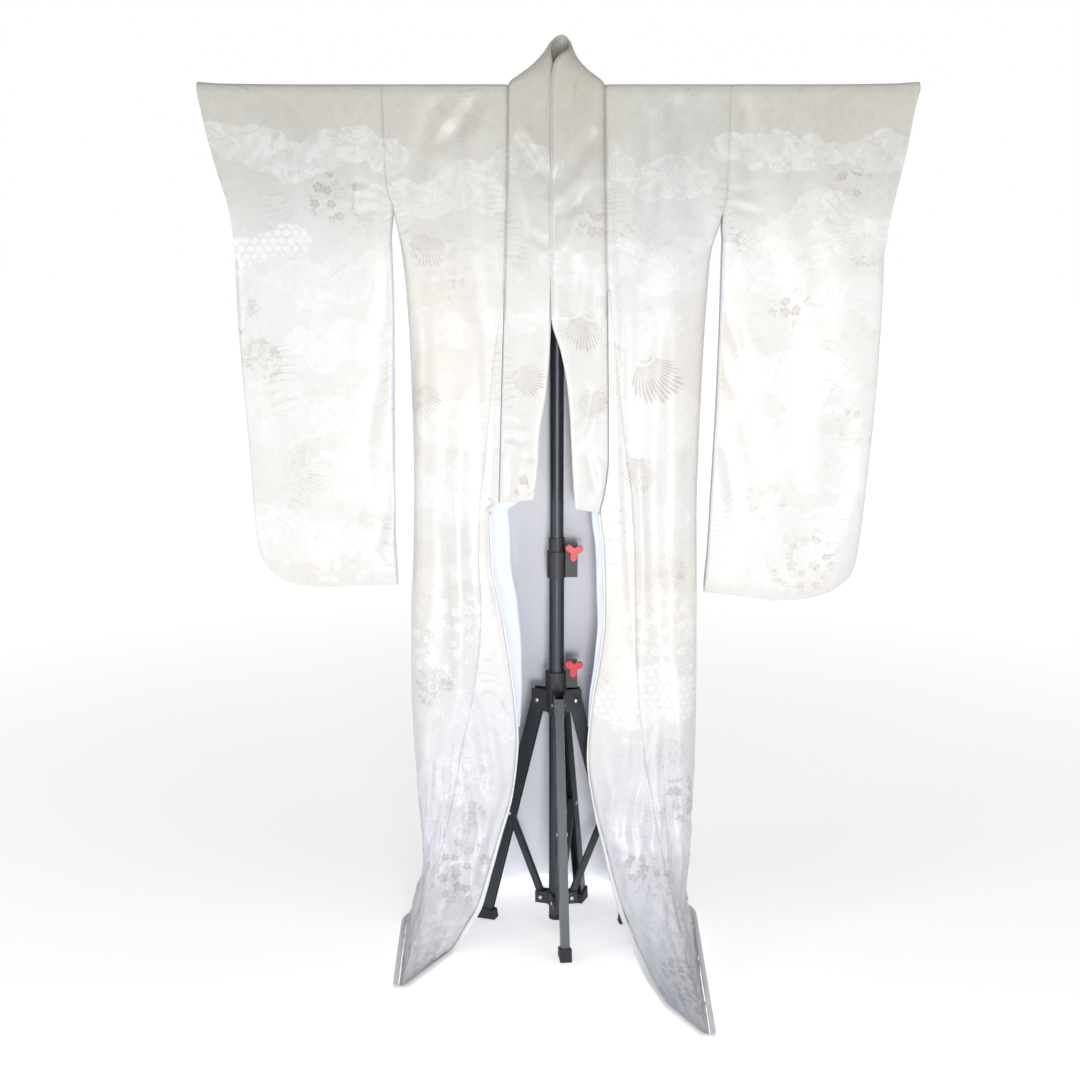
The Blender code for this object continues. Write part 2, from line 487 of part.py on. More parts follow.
def sleeve_surface(side):
    """Inner face of a sleeve: front layer, over the crossbar, back layer; the layers meet at the
    bottom and below the cuff, and stand apart at the open inner side and the cuff."""
    table = SLEEVE[side]
    sign = -1.0 if side == "left" else 1.0
    bottom, top = table[-1].z, table[0].z
    levels = np.concatenate([HIGH_LEVELS, np.linspace(1.22, 0.80, 6), [0.762, 0.73]])
    spare = 0.73 - bottom
    levels = np.concatenate([levels, bottom + spare * np.array([0.42, 0.18, 0.06, 0.0])])
    inner, outer, half, closed = (
        column(table, name, levels)[:, None] for name in ("inner", "outer", "half", "closed"))
    body = column(FRONT[side], "side_out", levels)[:, None]
    sewn = np.clip((levels[:, None] - 1.33) / 0.06, 0.0, 1.0)
    inner = inner + (body - inner) * sewn
    u = SLEEVE_COLUMNS
    out = inner + (outer - inner) * u
    to_outer = (outer - out) / 0.030
    round_off = np.sqrt(1.0 - (1.0 - np.clip(to_outer, 0.0, 1.0)) ** 2)
    space = half * (1.0 - closed + closed * round_off)
    space[-1, :] = 0.0
    height = np.broadcast_to(levels[:, None], out.shape)
    rise = smooth(SLEEVE_LIFT["out"], SLEEVE_LIFT["rise"], out) * np.clip((height - 1.35) / 0.2, 0.0, 1.0)
    inwards = np.clip((SLEEVE_LOWEST - out) / (SLEEVE_LOWEST - inner), 0.0, 1.0)
    rise = rise + SLEEVE_HEM_RISE[side] * inwards * np.clip((0.80 - height) / (0.80 - bottom), 0.0, 1.0)
    front = np.stack([sign * out, -space, height + rise], axis=-1)
    back = front * np.array([1.0, -1.0, 1.0])
    angles = np.linspace(0.0, math.pi, ARC_STEPS + 2)[1:-1][:, None]
    first = np.broadcast_to(out[0], (ARC_STEPS, len(u)))
    arc = np.stack([sign * first,
                    np.broadcast_to(-DRAPE_RADIUS * np.cos(angles), first.shape),
                    DRAPE_AXIS + DRAPE_RADIUS * np.sin(angles) + rise[0][None, :]], axis=-1)
    return np.concatenate([front[::-1], arc, back])


def collar_surface(share=(0.0, 0.34, 0.67, 1.0)):
    """The collar band's inner face: straight lines from the seam edge to the free edge."""
    rows = np.array(COLLAR)
    for row in rows:
        if row[2] < 1.584 and abs(row[0]) > 0.06:
            table = FRONT["left" if row[0] < 0 else "right"]
            out, fwd = column(table, "edge_out", row[2:3])[0], column(table, "edge_fwd", row[2:3])[0]
            row[:2] = math.copysign(out - 4 * GAP, row[0]), -fwd
    seam, free = rows[:, None, :3], rows[:, None, 3:]
    across = np.asarray(share)[None, :, None]
    return seam + (free - seam) * across


def outward_offset(points, distance, flip):
    """A grid moved along its own normals, outwards."""
    along_rows = np.gradient(points, axis=0)
    along_columns = np.gradient(points, axis=1)
    normal = np.cross(along_rows, along_columns)
    normal /= np.linalg.norm(normal, axis=-1, keepdims=True)
    return points + normal * (-distance if flip else distance)


def hem_side(surface, side, u, flip):
    """Hem points of a panel and, at each, the level direction that points out of the garment."""
    near = np.clip(np.stack([u - 0.01, u + 0.01]), 0.0, 1.0)
    along = surface(side, np.array([0.0]), near[1])[0] - surface(side, np.array([0.0]), near[0])[0]
    up = surface(side, np.array([0.004]), u)[0] - surface(side, np.array([0.0]), u)[0]
    normal = np.cross(up, along) * (-1.0 if flip else 1.0)
    normal[:, 2] = 0.0
    return surface(side, np.array([0.0]), u)[0], normal / np.linalg.norm(normal, axis=1, keepdims=True)


def hem_path(side):
    """Centre line of the padded roll: down the front edge, round the tail's tip and to the centre
    back, just outside the panels' faces."""
    flip = side == "right"
    levels = OVERLAP_LEVELS[OVERLAP_LEVELS < 0.83]
    pair = overlap_surface(side, levels, np.array([0.0, 0.2]))
    edge, across = pair[:, 0], pair[:, 1] - pair[:, 0]
    radius = np.interp(levels, (0.05, 0.30), (ROLL_RADIUS, ROLL_RADIUS * EDGE_ROLL))
    reach = WALL + GAP + ROLL_RADIUS + 0.0015
    across /= np.linalg.norm(across, axis=1, keepdims=True)
    outward = np.cross((0.0, 0.0, 1.0), across) * (-1.0 if flip else 1.0)
    beside = np.clip((levels - 0.035) / 0.06, 0.0, 1.0)[:, None]
    away = -across * beside + outward * (1.0 - beside)
    away /= np.linalg.norm(away, axis=1, keepdims=True)
    distance = (radius + 2 * GAP)[:, None] * beside + reach * (1.0 - beside)
    edge_line = edge + away * distance + outward * beside * WALL * 0.65
    edge_line[:, 2] = np.maximum(edge_line[:, 2], radius + 0.0008)
    runs = [hem_side(overlap_surface, side, np.array([0.08, 0.5, 1.0]), flip),
            hem_side(front_surface, side, np.array([0.0, 0.25, 0.5, 0.75, 1.0]), flip),
            hem_side(back_surface, side, np.array([0.975, 0.9, 0.8, 0.55, 0.3, 0.02]), not flip)]
    points, normals = (np.concatenate(part) for part in zip(*runs))
    rolled = points + normals * reach
    middle = normals[2] + normals[3]
    tip = points[2] + middle / np.linalg.norm(middle) * reach * 1.3
    rolled = np.concatenate([rolled[:3], tip[None, :], rolled[3:]])
    rolled[:, 2] = ROLL_RADIUS + 0.0008
    factors = np.concatenate([radius / ROLL_RADIUS, np.ones(len(rolled))])
    return np.concatenate([edge_line, rolled]), factors


def make_garment(shop):
    """Every sewn piece of the kimono."""
    silk = material("ivory_silk", SILK, 0.45)
    cover_silk = material("ivory_silk_cover", SILK, 0.42)
    lining = material("pale_lining", SILK_LINING, 0.5)
    roll = material("padded_roll", SILK, 0.5)
    for side in ("left", "right"):
        sign = -1.0 if side == "left" else 1.0
        body_front, body_back = body_panels(side)
        shop.cloth("body_front_" + side, body_front, sign > 0, WALL, silk)
        shop.cloth("body_back_" + side, body_back, sign > 0, WALL, silk)
        shop.cloth("sleeve_" + side, sleeve_surface(side), sign > 0, WALL, silk)
        overlap = overlap_surface(side, OVERLAP_LEVELS, OVERLAP_COLUMNS)
        shop.cloth("overlap_" + side, overlap, sign < 0, WALL, silk)
        levels = BACK_LEVELS[(BACK_LEVELS < BACK_LINING_TOP) & (BACK_LEVELS > 0.004)]
        inside = back_surface(side, levels, PANEL_COLUMNS[:-1])
        inside = outward_offset(inside, -(2.5 * GAP + LINING_WALL), sign > 0)
        inside[..., 0] = sign * np.maximum(np.abs(inside[..., 0]), GAP)
        shop.cloth("back_lining_" + side, inside, sign > 0, LINING_WALL, lining)
        strip_levels = np.linspace(LINING_TOP, LINING_LOW, 9)
        strip = overlap_surface(side, strip_levels, np.array([0.0, 0.6]))
        show = LINING_SHOW[side] * np.sin(np.pi * np.linspace(0.35, 0.98, 9))
        strip[:, 0, 0] -= sign * (show + ROLL_RADIUS)
        strip[:, :, 1] += LINING_WALL + 4 * GAP
        shop.cloth("front_lining_" + side, strip, sign < 0, LINING_WALL, lining)
        path, factors = hem_path(side)
        shop.tube("hem_roll_" + side, path, ROLL_RADIUS, factors, roll)
    band = collar_surface()
    shop.cloth("collar", band, True, COLLAR_WALL, silk)
    cover = collar_surface((0.03, 0.34, 0.67, 0.97))[COLLAR_COVER_FIRST:COLLAR_COVER_LAST]
    cover = outward_offset(cover, COLLAR_WALL + 3 * GAP, True)
    shop.cloth("collar_cover", cover, True, COVER_WALL, cover_silk)


# ---------------------------------------------------------------- the stand
def radial(angle):
    """Turns the X axis to a compass bearing about the mast."""
    return Matrix.Rotation(math.radians(angle), 4, "Z")


def make_knob(shop, name, height, lug_shapes, owner):
    """A lug on the clamp with a bore, the screw through it and a three-lobed head in front."""
    screw_at = Matrix.Translation((KNOB_OUT, 0.0, height)) @ Matrix.Rotation(math.pi / 2, 4, "X")
    shop.combine(owner, lug_shapes, "UNION")
    shop.combine(owner, [(24, (KNOB_BORE, 4 * LUG_HALF), screw_at)], "DIFFERENCE")
    red = material(name + "_red", RED_PLASTIC, 0.35)
    steel = material(name + "_steel", (0.6, 0.6, 0.6), 0.3, 1.0)
    angles = [2 * math.pi * k / 36 for k in range(36)]
    lobes = [((KNOB_LOBE_MEAN + KNOB_LOBE_SWING * math.cos(3 * a)) * math.cos(a),
              (KNOB_LOBE_MEAN + KNOB_LOBE_SWING * math.cos(3 * a)) * math.sin(a)) for a in angles]
    front = -(LUG_HALF + GAP + KNOB_THICKNESS / 2)
    head_at = (Matrix.Translation((KNOB_OUT, front, height)) @ Matrix.Rotation(math.pi / 2, 4, "X")
               @ Matrix.Rotation(math.radians(25.0), 4, "Z"))
    shop.outline(name, lobes, KNOB_THICKNESS, red, head_at)
    length = 2 * LUG_HALF + 0.004
    middle = -LUG_HALF + length / 2
    at = Matrix.Translation((KNOB_OUT, middle, height)) @ Matrix.Rotation(math.pi / 2, 4, "X")
    shop.add(name + "_screw", shop.solid_mesh([(12, (KNOB_SCREW, length), at)]), steel)


def make_mast(shop):
    """Crossbar, tee, the two tubes, the clamp between them and its knob."""
    metal = material("black_metal", BLACK_METAL, 0.35, 0.6)
    plastic = material("black_plastic", BLACK_PLASTIC, 0.45)
    lie_down = Matrix.Rotation(math.pi / 2, 4, "Y")
    rod = [(20, (ROD_RADIUS, ROD_LENGTH), Matrix.Translation((0.0, 0.0, ROD_AXIS)) @ lie_down)]
    shop.add("crossbar", shop.solid_mesh(rod), metal)

    tee_low = ROD_AXIS - TEE_RADIUS - 0.012
    tee_high = ROD_AXIS
    post = [(20, (TEE_RADIUS, tee_high - tee_low), Matrix.Translation((0, 0, (tee_low + tee_high) / 2)))]
    tee = shop.add("tee_head", shop.solid_mesh(post), plastic)
    barrel = Matrix.Translation((0.0, 0.0, ROD_AXIS)) @ lie_down
    shop.combine(tee, [(20, (TEE_RADIUS, 0.060), barrel)], "UNION")
    shop.combine(tee, [(20, (ROD_RADIUS + GAP, 0.080), barrel)], "DIFFERENCE")

    upper_low, upper_high = MAST_JOIN - MAST_OVERLAP, tee_low - GAP
    upper = [(24, (MAST_UPPER_RADIUS, upper_high - upper_low),
              Matrix.Translation((0, 0, (upper_low + upper_high) / 2)))]
    shop.add("mast_upper", shop.solid_mesh(upper), metal)
    shop.turned("mast_lower", [(MAST_LOWER_RADIUS, MAST_JOIN), (MAST_LOWER_RADIUS, MAST_BOTTOM),
                               (MAST_BORE, MAST_BOTTOM), (MAST_BORE, MAST_JOIN)], metal)
    plug = [(24, (MAST_LOWER_RADIUS, 0.010), Matrix.Translation((0, 0, MAST_BOTTOM - GAP - 0.005)))]
    shop.add("mast_plug", shop.solid_mesh(plug), material("plug_rubber", RUBBER, 0.8))

    low = MAST_JOIN + GAP
    clamp = shop.turned("mast_clamp", [(0.0183, low + 0.050), (0.0183, low), (MAST_BORE, low),
                                       (MAST_BORE, low + 0.076), (0.0152, low + 0.076), (0.0152, low + 0.050)],
                        plastic)
    knob_height = low + 0.0520
    lug = [("box", (0.0230, 2 * LUG_HALF, 0.062), Matrix.Translation((0.0275, 0, low + 0.033)))]
    make_knob(shop, "mast_knob", knob_height, lug, clamp)


def eared_ring(shop, name, profile, surface, out, low, high):
    """A turned ring with a pair of ears and a rivet between them for each leg or brace."""
    ring = shop.turned(name, profile, surface)
    half_gap = LEG_WIDTH / 2 + GAP + EAR_THICKNESS / 2
    inner = 0.0145
    middle, height = (inner + out) / 2, (low + high) / 2
    across = Matrix.Rotation(math.pi / 2, 4, "X")
    rivets = []
    for angle in LEGS.values():
        size = (out - inner, EAR_THICKNESS, high - low)
        places = [radial(angle) @ Matrix.Translation((middle, y, height)) for y in (-half_gap, half_gap)]
        shop.combine(ring, [("box", size, place) for place in places], "UNION")
        rivet_at = radial(angle) @ Matrix.Translation((out - RIVET_INSET, 0, height)) @ across
        rivets.append((8, (RIVET_RADIUS, 2 * half_gap + 0.004), rivet_at))
    return shop.combine(ring, rivets, "UNION")


def make_leg(shop, name, angle, metal):
    """A leg of folded sheet, open towards the mast, with a bore for the hub's rivet and a rivet of its
    own that carries the brace; and the brace, bored at both ends."""
    turn = radial(angle)
    tilt = math.atan(LEG_SPLAY)
    hole_at = Vector((EAR_REACH - RIVET_INSET, 0.0, (HUB_MIDDLE + HUB_BOTTOM) / 2))
    axis = Vector((math.sin(tilt), 0.0, -math.cos(tilt)))
    length = (hole_at.z - LEG_END) / math.cos(tilt) + RIVET_INSET
    middle = hole_at + axis * (length / 2 - RIVET_INSET)
    lean = Matrix.Rotation(-tilt, 4, "Y")
    across = Matrix.Rotation(math.pi / 2, 4, "X")
    leg_at = turn @ Matrix.Translation(middle) @ lean
    leg = shop.add("leg_" + name, shop.solid_mesh([("box", (LEG_DEPTH, LEG_WIDTH, length), leg_at)]), metal)
    hollow = (LEG_DEPTH, LEG_WIDTH - 2 * LEG_SHEET, length + 0.01)
    inside = turn @ Matrix.Translation(middle) @ lean @ Matrix.Translation((-LEG_SHEET, 0.0, 0.0))
    bore = turn @ Matrix.Translation(hole_at) @ across
    shop.combine(leg, [("box", hollow, inside)], "DIFFERENCE")
    shop.combine(leg, [(12, (RIVET_RADIUS + GAP, LEG_WIDTH + 0.01), bore)], "DIFFERENCE")

    top = hole_at + axis * ((hole_at.z - BRACE_TOP) / math.cos(tilt))
    low = Vector((RING_REACH - RIVET_INSET, 0.0, (RING_LOW + RING_HIGH) / 2))
    top_at = turn @ Matrix.Translation(top) @ across
    low_at = turn @ Matrix.Translation(low) @ across
    shop.combine(leg, [(8, (RIVET_RADIUS, LEG_WIDTH + 0.003), top_at)], "UNION")
    slope = math.atan2(top.x - low.x, top.z - low.z)
    brace_at = turn @ Matrix.Translation((top + low) / 2) @ Matrix.Rotation(slope, 4, "Y")
    size = (BRACE_DEPTH, LEG_WIDTH - 2 * LEG_SHEET - 2 * GAP, (top - low).length + BRACE_DEPTH)
    brace = shop.add("brace_" + name, shop.solid_mesh([("box", size, brace_at)]), metal)
    shop.combine(brace, [(12, (RIVET_RADIUS + GAP, LEG_WIDTH), top_at)], "DIFFERENCE")
    shop.combine(brace, [(12, (RIVET_RADIUS + GAP, LEG_WIDTH), low_at)], "DIFFERENCE")
    return hole_at.x + LEG_SPLAY * (hole_at.z - LEG_END)


def make_base(shop):
    """Leg hub and its knob, the ring that the braces meet, the legs, their braces and the feet."""
    plastic = material("hub_plastic", BLACK_PLASTIC, 0.45)
    metal = material("leg_metal", BLACK_METAL, 0.4, 0.6)
    rubber = material("foot_rubber", RUBBER, 0.8)
    profile = [(HUB_RADIUS, HUB_TOP), (HUB_RADIUS, HUB_MIDDLE), (0.0185, HUB_MIDDLE - 0.004),
               (0.0185, HUB_BOTTOM), (SLEEVE_BORE, HUB_BOTTOM), (SLEEVE_BORE, HUB_TOP)]
    hub = eared_ring(shop, "leg_hub", profile, plastic, EAR_REACH, HUB_BOTTOM, HUB_MIDDLE)
    lug = [("box", (0.0210, 2 * LUG_HALF, 0.050), Matrix.Translation((0.0285, 0, HUB_TOP - 0.0035)))]
    make_knob(shop, "hub_knob", HUB_TOP + 0.012, lug, hub)
    profile = [(RING_RADIUS, RING_HIGH), (RING_RADIUS, RING_LOW), (SLEEVE_BORE, RING_LOW),
               (SLEEVE_BORE, RING_HIGH)]
    eared_ring(shop, "brace_ring", profile, plastic, RING_REACH, RING_LOW, RING_HIGH)
    for name, angle in LEGS.items():
        end_out = make_leg(shop, name, angle, metal)
        near, far = end_out - 0.020, end_out + 0.020
        tops = [LEG_END - 2 * GAP + (x - end_out) * LEG_SPLAY for x in (near + 0.003, far - 0.003)]
        foot = [(near, 0.0), (far, 0.0), (far - 0.003, tops[1]), (near + 0.003, tops[0])]
        stand_up = radial(angle) @ Matrix.Rotation(math.pi / 2, 4, "X")
        shop.outline("foot_" + name, foot, FOOT_WIDTH, rubber, stand_up)


def centre_on_floor(shop):
    """Moves the carrying empty so that the whole stands centred on the origin."""
    bpy.context.view_layer.update()
    graph = bpy.context.evaluated_depsgraph_get()
    low, high = Vector((9.0, 9.0)), Vector((-9.0, -9.0))
    for piece in shop.parts.objects:
        if piece.type == "EMPTY":
            continue
        evaluated = piece.evaluated_get(graph)
        mesh = evaluated.to_mesh()
        for vertex in mesh.vertices:
            spot = evaluated.matrix_world @ vertex.co
            low = Vector((min(low.x, spot.x), min(low.y, spot.y)))
            high = Vector((max(high.x, spot.x), max(high.y, spot.y)))
        evaluated.to_mesh_clear()
    shop.root.location = (-(low.x + high.x) / 2, -(low.y + high.y) / 2, 0.0)
    bpy.context.view_layer.update()


def main():
    """Builds the whole part."""
    clear_scene()
    shop = Workshop()
    make_garment(shop)
    make_mast(shop)
    make_base(shop)
    centre_on_floor(shop)


main()
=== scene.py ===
"""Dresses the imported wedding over-robe and its stand: figured silk on every panel, padded hem and
linings, and the finishes of the stand. Metres, +Z up, -Y towards the open front."""
import math
from collections import namedtuple

import bmesh
import bpy
import numpy as np
from mathutils import Matrix, Vector


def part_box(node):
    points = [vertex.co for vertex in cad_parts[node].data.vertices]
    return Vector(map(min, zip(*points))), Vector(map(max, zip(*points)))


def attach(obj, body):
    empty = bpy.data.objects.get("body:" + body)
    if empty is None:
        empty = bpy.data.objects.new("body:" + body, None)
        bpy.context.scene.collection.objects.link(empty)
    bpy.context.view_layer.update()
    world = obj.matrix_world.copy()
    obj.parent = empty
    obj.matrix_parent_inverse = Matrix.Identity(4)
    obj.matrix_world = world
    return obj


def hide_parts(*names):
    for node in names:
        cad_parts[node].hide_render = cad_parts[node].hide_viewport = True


bl_info = {
    "name": "Wedding over-robe on its stand",
    "version": (1, 0, 0),
    "blender": (4, 5, 0),
    "location": "3D View > Sidebar > Robe",
    "description": "Silk panels, padded hem, lining and stand finishes fitted to the packed part",
    "category": "Object",
}

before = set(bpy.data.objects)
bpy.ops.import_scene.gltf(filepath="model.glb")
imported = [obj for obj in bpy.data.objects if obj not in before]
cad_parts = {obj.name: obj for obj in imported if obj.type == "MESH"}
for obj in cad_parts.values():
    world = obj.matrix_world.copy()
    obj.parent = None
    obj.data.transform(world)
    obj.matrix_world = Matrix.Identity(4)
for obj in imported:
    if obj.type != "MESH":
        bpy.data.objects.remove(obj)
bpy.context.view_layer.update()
LOW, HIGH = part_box("mast_lower")
SHIFT = np.array([(LOW.x + HIGH.x) / 2, (LOW.y + HIGH.y) / 2, 0.0])   # the mast's axis on the floor

# ---------------- the garment's own measures
SIGN = {"left": -1.0, "right": 1.0}
GAP = 0.0003                # between neighbouring pieces
WALL, COLLAR_WALL, COVER_WALL, LINING_WALL = 0.0020, 0.0026, 0.0012, 0.0010     # of the solids
SHEET, LINING_SHEET = 0.0011, 0.0009    # thickness that dressed silk and lining show at their edges
ROLL_RADIUS = 0.0050
EDGE_ROLL = 0.38            # the roll's share of that radius up the front edge
SHOULDER = 1.600
DRAPE_RADIUS = 0.0128       # of the cloth's bend over the crossbar, and the height of its axis
DRAPE_AXIS = SHOULDER - WALL - DRAPE_RADIUS
CORNER_START = 0.60         # share of a panel's width where it starts to turn into the side seam
# Points across each kind of panel, and the distance between its rows.
BODY_COLUMNS, OVERLAP_COLUMNS, SLEEVE_COLUMNS, COLLAR_COLUMNS, LINING_COLUMNS = 46, 20, 52, 19, 30
OVERLAP_STEP, COLLAR_STEP, LINING_STEP, ROLL_STEP = 0.0060, 0.0065, 0.0090, 0.0060
OVERLAP_TOP = 1.236
EDGE_TOP = 0.829            # height at which the padded roll of the front edge begins
LINING_TOP, LINING_LOW = 0.826, 0.420
LINING_SHOW = {"left": 0.034, "right": 0.012}   # how far the front lining shows past the edge
BACK_LINING_TOP = 1.30
OPEN_SIDE = 1.33            # height above which the body's side is open to the sleeve
SLEEVE_SEWN = 1.372         # height above which a sleeve is sewn to the body
CUFF_LOW = 1.29             # height of the cuff's lower end
# How far a sleeve stands up towards its outer end, above the height at which that begins.
SLEEVE_LIFT = {"out": (0.30, 0.47, 0.60, 0.65), "rise": (0.0, 0.0, 0.0015, 0.0045)}
LIFT_LOW = 1.35
SLEEVE_LOWEST = 0.42        # distance out of the lowest point of the bottom edge
SLEEVE_HEM_RISE = {"left": 0.003, "right": 0.018}   # from there up to the inner corner
HEM_RISE_TOP = 0.80         # height at which that rise has died away
# The back neckline, from the shoulder point down to the centre seam: height and distance out.
NECKLINE = {"z": (1.5852, 1.5815, 1.5770, 1.5730), "share": (0.86, 0.60, 0.28, 0.0)}
TRAIN = (1.15, 1.45)        # cloth from the shoulder over which the crumpled train sets in

Section = namedtuple("Section", "z edge_out edge_fwd seam_out seam_fwd side_out side_fwd turn")
Back = namedtuple("Back", "z aft turn")
Sleeve = namedtuple("Sleeve", "z inner outer half closed")
Fold = namedtuple("Fold", "z_top z_low u_top u_low width depth")
Crease = namedtuple("Crease", "x0 d0 x1 d1 width depth bow lean")
Cloud = namedtuple("Cloud", "x d size stretch kind seed")
Motif = namedtuple("Motif", "x d size angle tone")
Spray = namedtuple("Spray", "x d reach tone")


def named(kind, lengths, rows):
    """Rows of plain numbers with the names of their columns; the first so many columns are lengths, given
    in millimetres and kept in metres."""
    return [kind(*(value / 1000 for value in row[:lengths]), *row[lengths:]) for row in rows]


# Level sections of each front: its free edge (the collar seam above 0.86), the overlap seam, the side
# seam, and how far the cloth turns round a soft corner into the side seam.
FRONT = {
    "left": named(Section, 7, (
        (1585.2, 90.5, 12.8, 90.5, 12.8, 313.5, 12.8, 0), (1430, 92.5, 16, 92.5, 16, 308, 12.8, 0),
        (1375, 94, 18, 94, 18, 295, 11, 0.5), (1300, 96, 21, 96, 21, 282, 0.2, 1),
        (1236, 97.2, 24, 99, 24, 275.5, 0.2, 1), (1110, 101, 30, 115, 31, 269.5, 0.2, 1),
        (900, 106.8, 39, 135, 40, 265.5, 0.2, 1), (865, 107.8, 40.5, 140, 41.5, 266, 0.2, 1),
        (846, 108.3, 41, 141.5, 42, 266.2, 0.2, 1), (840, 122.5, 41.2, 142, 42.2, 266.3, 0.2, 1),
        (832, 126, 41.5, 143, 42.5, 266.5, 0.2, 1), (735, 123.5, 44, 144, 45, 269, 0.2, 1),
        (650, 107, 46, 141, 47.5, 274, 0.2, 1), (490, 83.5, 48, 156, 51, 275.5, 0.2, 1),
        (400, 76, 48, 176, 53, 272.5, 0.2, 1), (300, 85, 48, 194, 57, 267, 0.2, 1),
        (200, 113, 55, 217, 74, 259, 0.2, 0.8), (137, 132, 68, 237, 95, 254.5, 0.2, 0.6),
        (81, 150.5, 85, 251, 130, 270, -4, 0.4), (39, 177.5, 101, 264, 175, 282, -10, 0.2),
        (9, 198.5, 121, 277, 238, 291, -17, 0.1), (0, 216, 150, 283.5, 283, 293, -20, 0),
    )),
    "right": named(Section, 7, (
        (1585.2, 86, 12.8, 86, 12.8, 308.5, 12.8, 0), (1420, 88, 16, 88, 16, 305.5, 12.8, 0),
        (1363, 89.5, 18, 89.5, 18, 296, 11, 0.5), (1300, 90.5, 21, 90.5, 21, 279, 0.2, 1),
        (1243, 92, 24, 93.5, 24, 274.5, 0.2, 1), (1110, 93.5, 30, 108, 31, 268, 0.2, 1),
        (927, 95, 38, 128, 39, 262, 0.2, 1), (860, 87, 40.5, 138, 41.5, 260.5, 0.2, 1),
        (830, 80, 41.5, 140, 42.5, 260.5, 0.2, 1), (761, 88.5, 44, 144, 45, 261.5, 0.2, 1),
        (628, 91, 46.5, 147, 48, 264, 0.2, 1), (548, 82.5, 47.5, 150, 50, 265, 0.2, 1),
        (474, 70, 48, 155, 52, 266, 0.2, 1), (360, 61.2, 48, 168, 55, 265, 0.2, 1),
        (260, 75.5, 50, 185, 63, 261, 0.2, 0.9), (190, 94, 57, 200, 85, 256, 0.2, 0.7),
        (100, 118, 80, 221, 145, 250, -2, 0.4), (57, 137, 120, 232, 205, 255, -10, 0.25),
        (20, 158, 185, 243, 298, 264, -35, 0.12), (5, 173, 250, 249, 383, 268, -52, 0.05),
        (0, 198, 354, 253, 466, 269, -60, 0),
    )),
}

# The back at its centre seam, the same on both sides: nearly straight, then a short train.
BACK = named(Back, 2, (
    (1585.2, 15.8, 0), (1430, 17, 0), (1370, 20, 0.5), (1300, 24, 1), (1100, 34, 1), (900, 45, 1), (700, 58, 1),
    (500, 82, 1), (360, 108, 0.8), (260, 132, 0.6), (160, 162, 0.45), (100, 185, 0.35), (50, 212, 0.25),
    (20, 242, 0.2), (6, 268, 0.15), (0, 290, 0.1),
))

# Sleeves: inner and outer edges, half the space between the two layers, and whether the outer edge is
# closed (1) or is the open cuff (0). The outer edge comes in round the lower corner.
SLEEVE = {
    "left": named(Sleeve, 4, (
        (1585.2, 313.8, 645, 12.8, 0), (1514.5, 311, 631, 12.8, 0), (1447.9, 308.5, 613.5, 12.8, 0),
        (1380.8, 308.3, 594.5, 12.6, 0), (1320, 302, 586.5, 12.2, 0), (1290, 301.2, 585, 12, 1),
        (1201.6, 299.8, 584.5, 11.4, 1), (1070.2, 300.5, 578.5, 10.6, 1), (931.2, 302.5, 570, 10, 1),
        (786.1, 303, 563.2, 9.6, 1), (746.1, 302, 556.9, 9.4, 1), (710, 300.2, 533, 9.2, 1), (690, 299.5, 499, 6, 1),
        (684, 299.2, 466.7, 0, 1),
    )),
    "right": named(Sleeve, 4, (
        (1585.2, 309, 647.5, 12.8, 0), (1554.5, 308.5, 639.7, 12.8, 0), (1477.7, 307, 626.6, 12.8, 0),
        (1407.3, 305.8, 611.3, 12.6, 0), (1339.9, 300.5, 598.5, 12.2, 0), (1291.7, 299.5, 593.9, 12, 1),
        (1235.9, 299, 594.1, 11.6, 1), (1046.3, 295, 588.2, 10.6, 1), (867.4, 288, 576, 10, 1),
        (740.4, 283, 563.6, 9.6, 1), (705.9, 280.5, 553.5, 9.4, 1), (676, 278.5, 520, 9, 1), (660, 278, 470, 6, 1),
        (656, 277.8, 417.6, 0, 1),
    )),
}

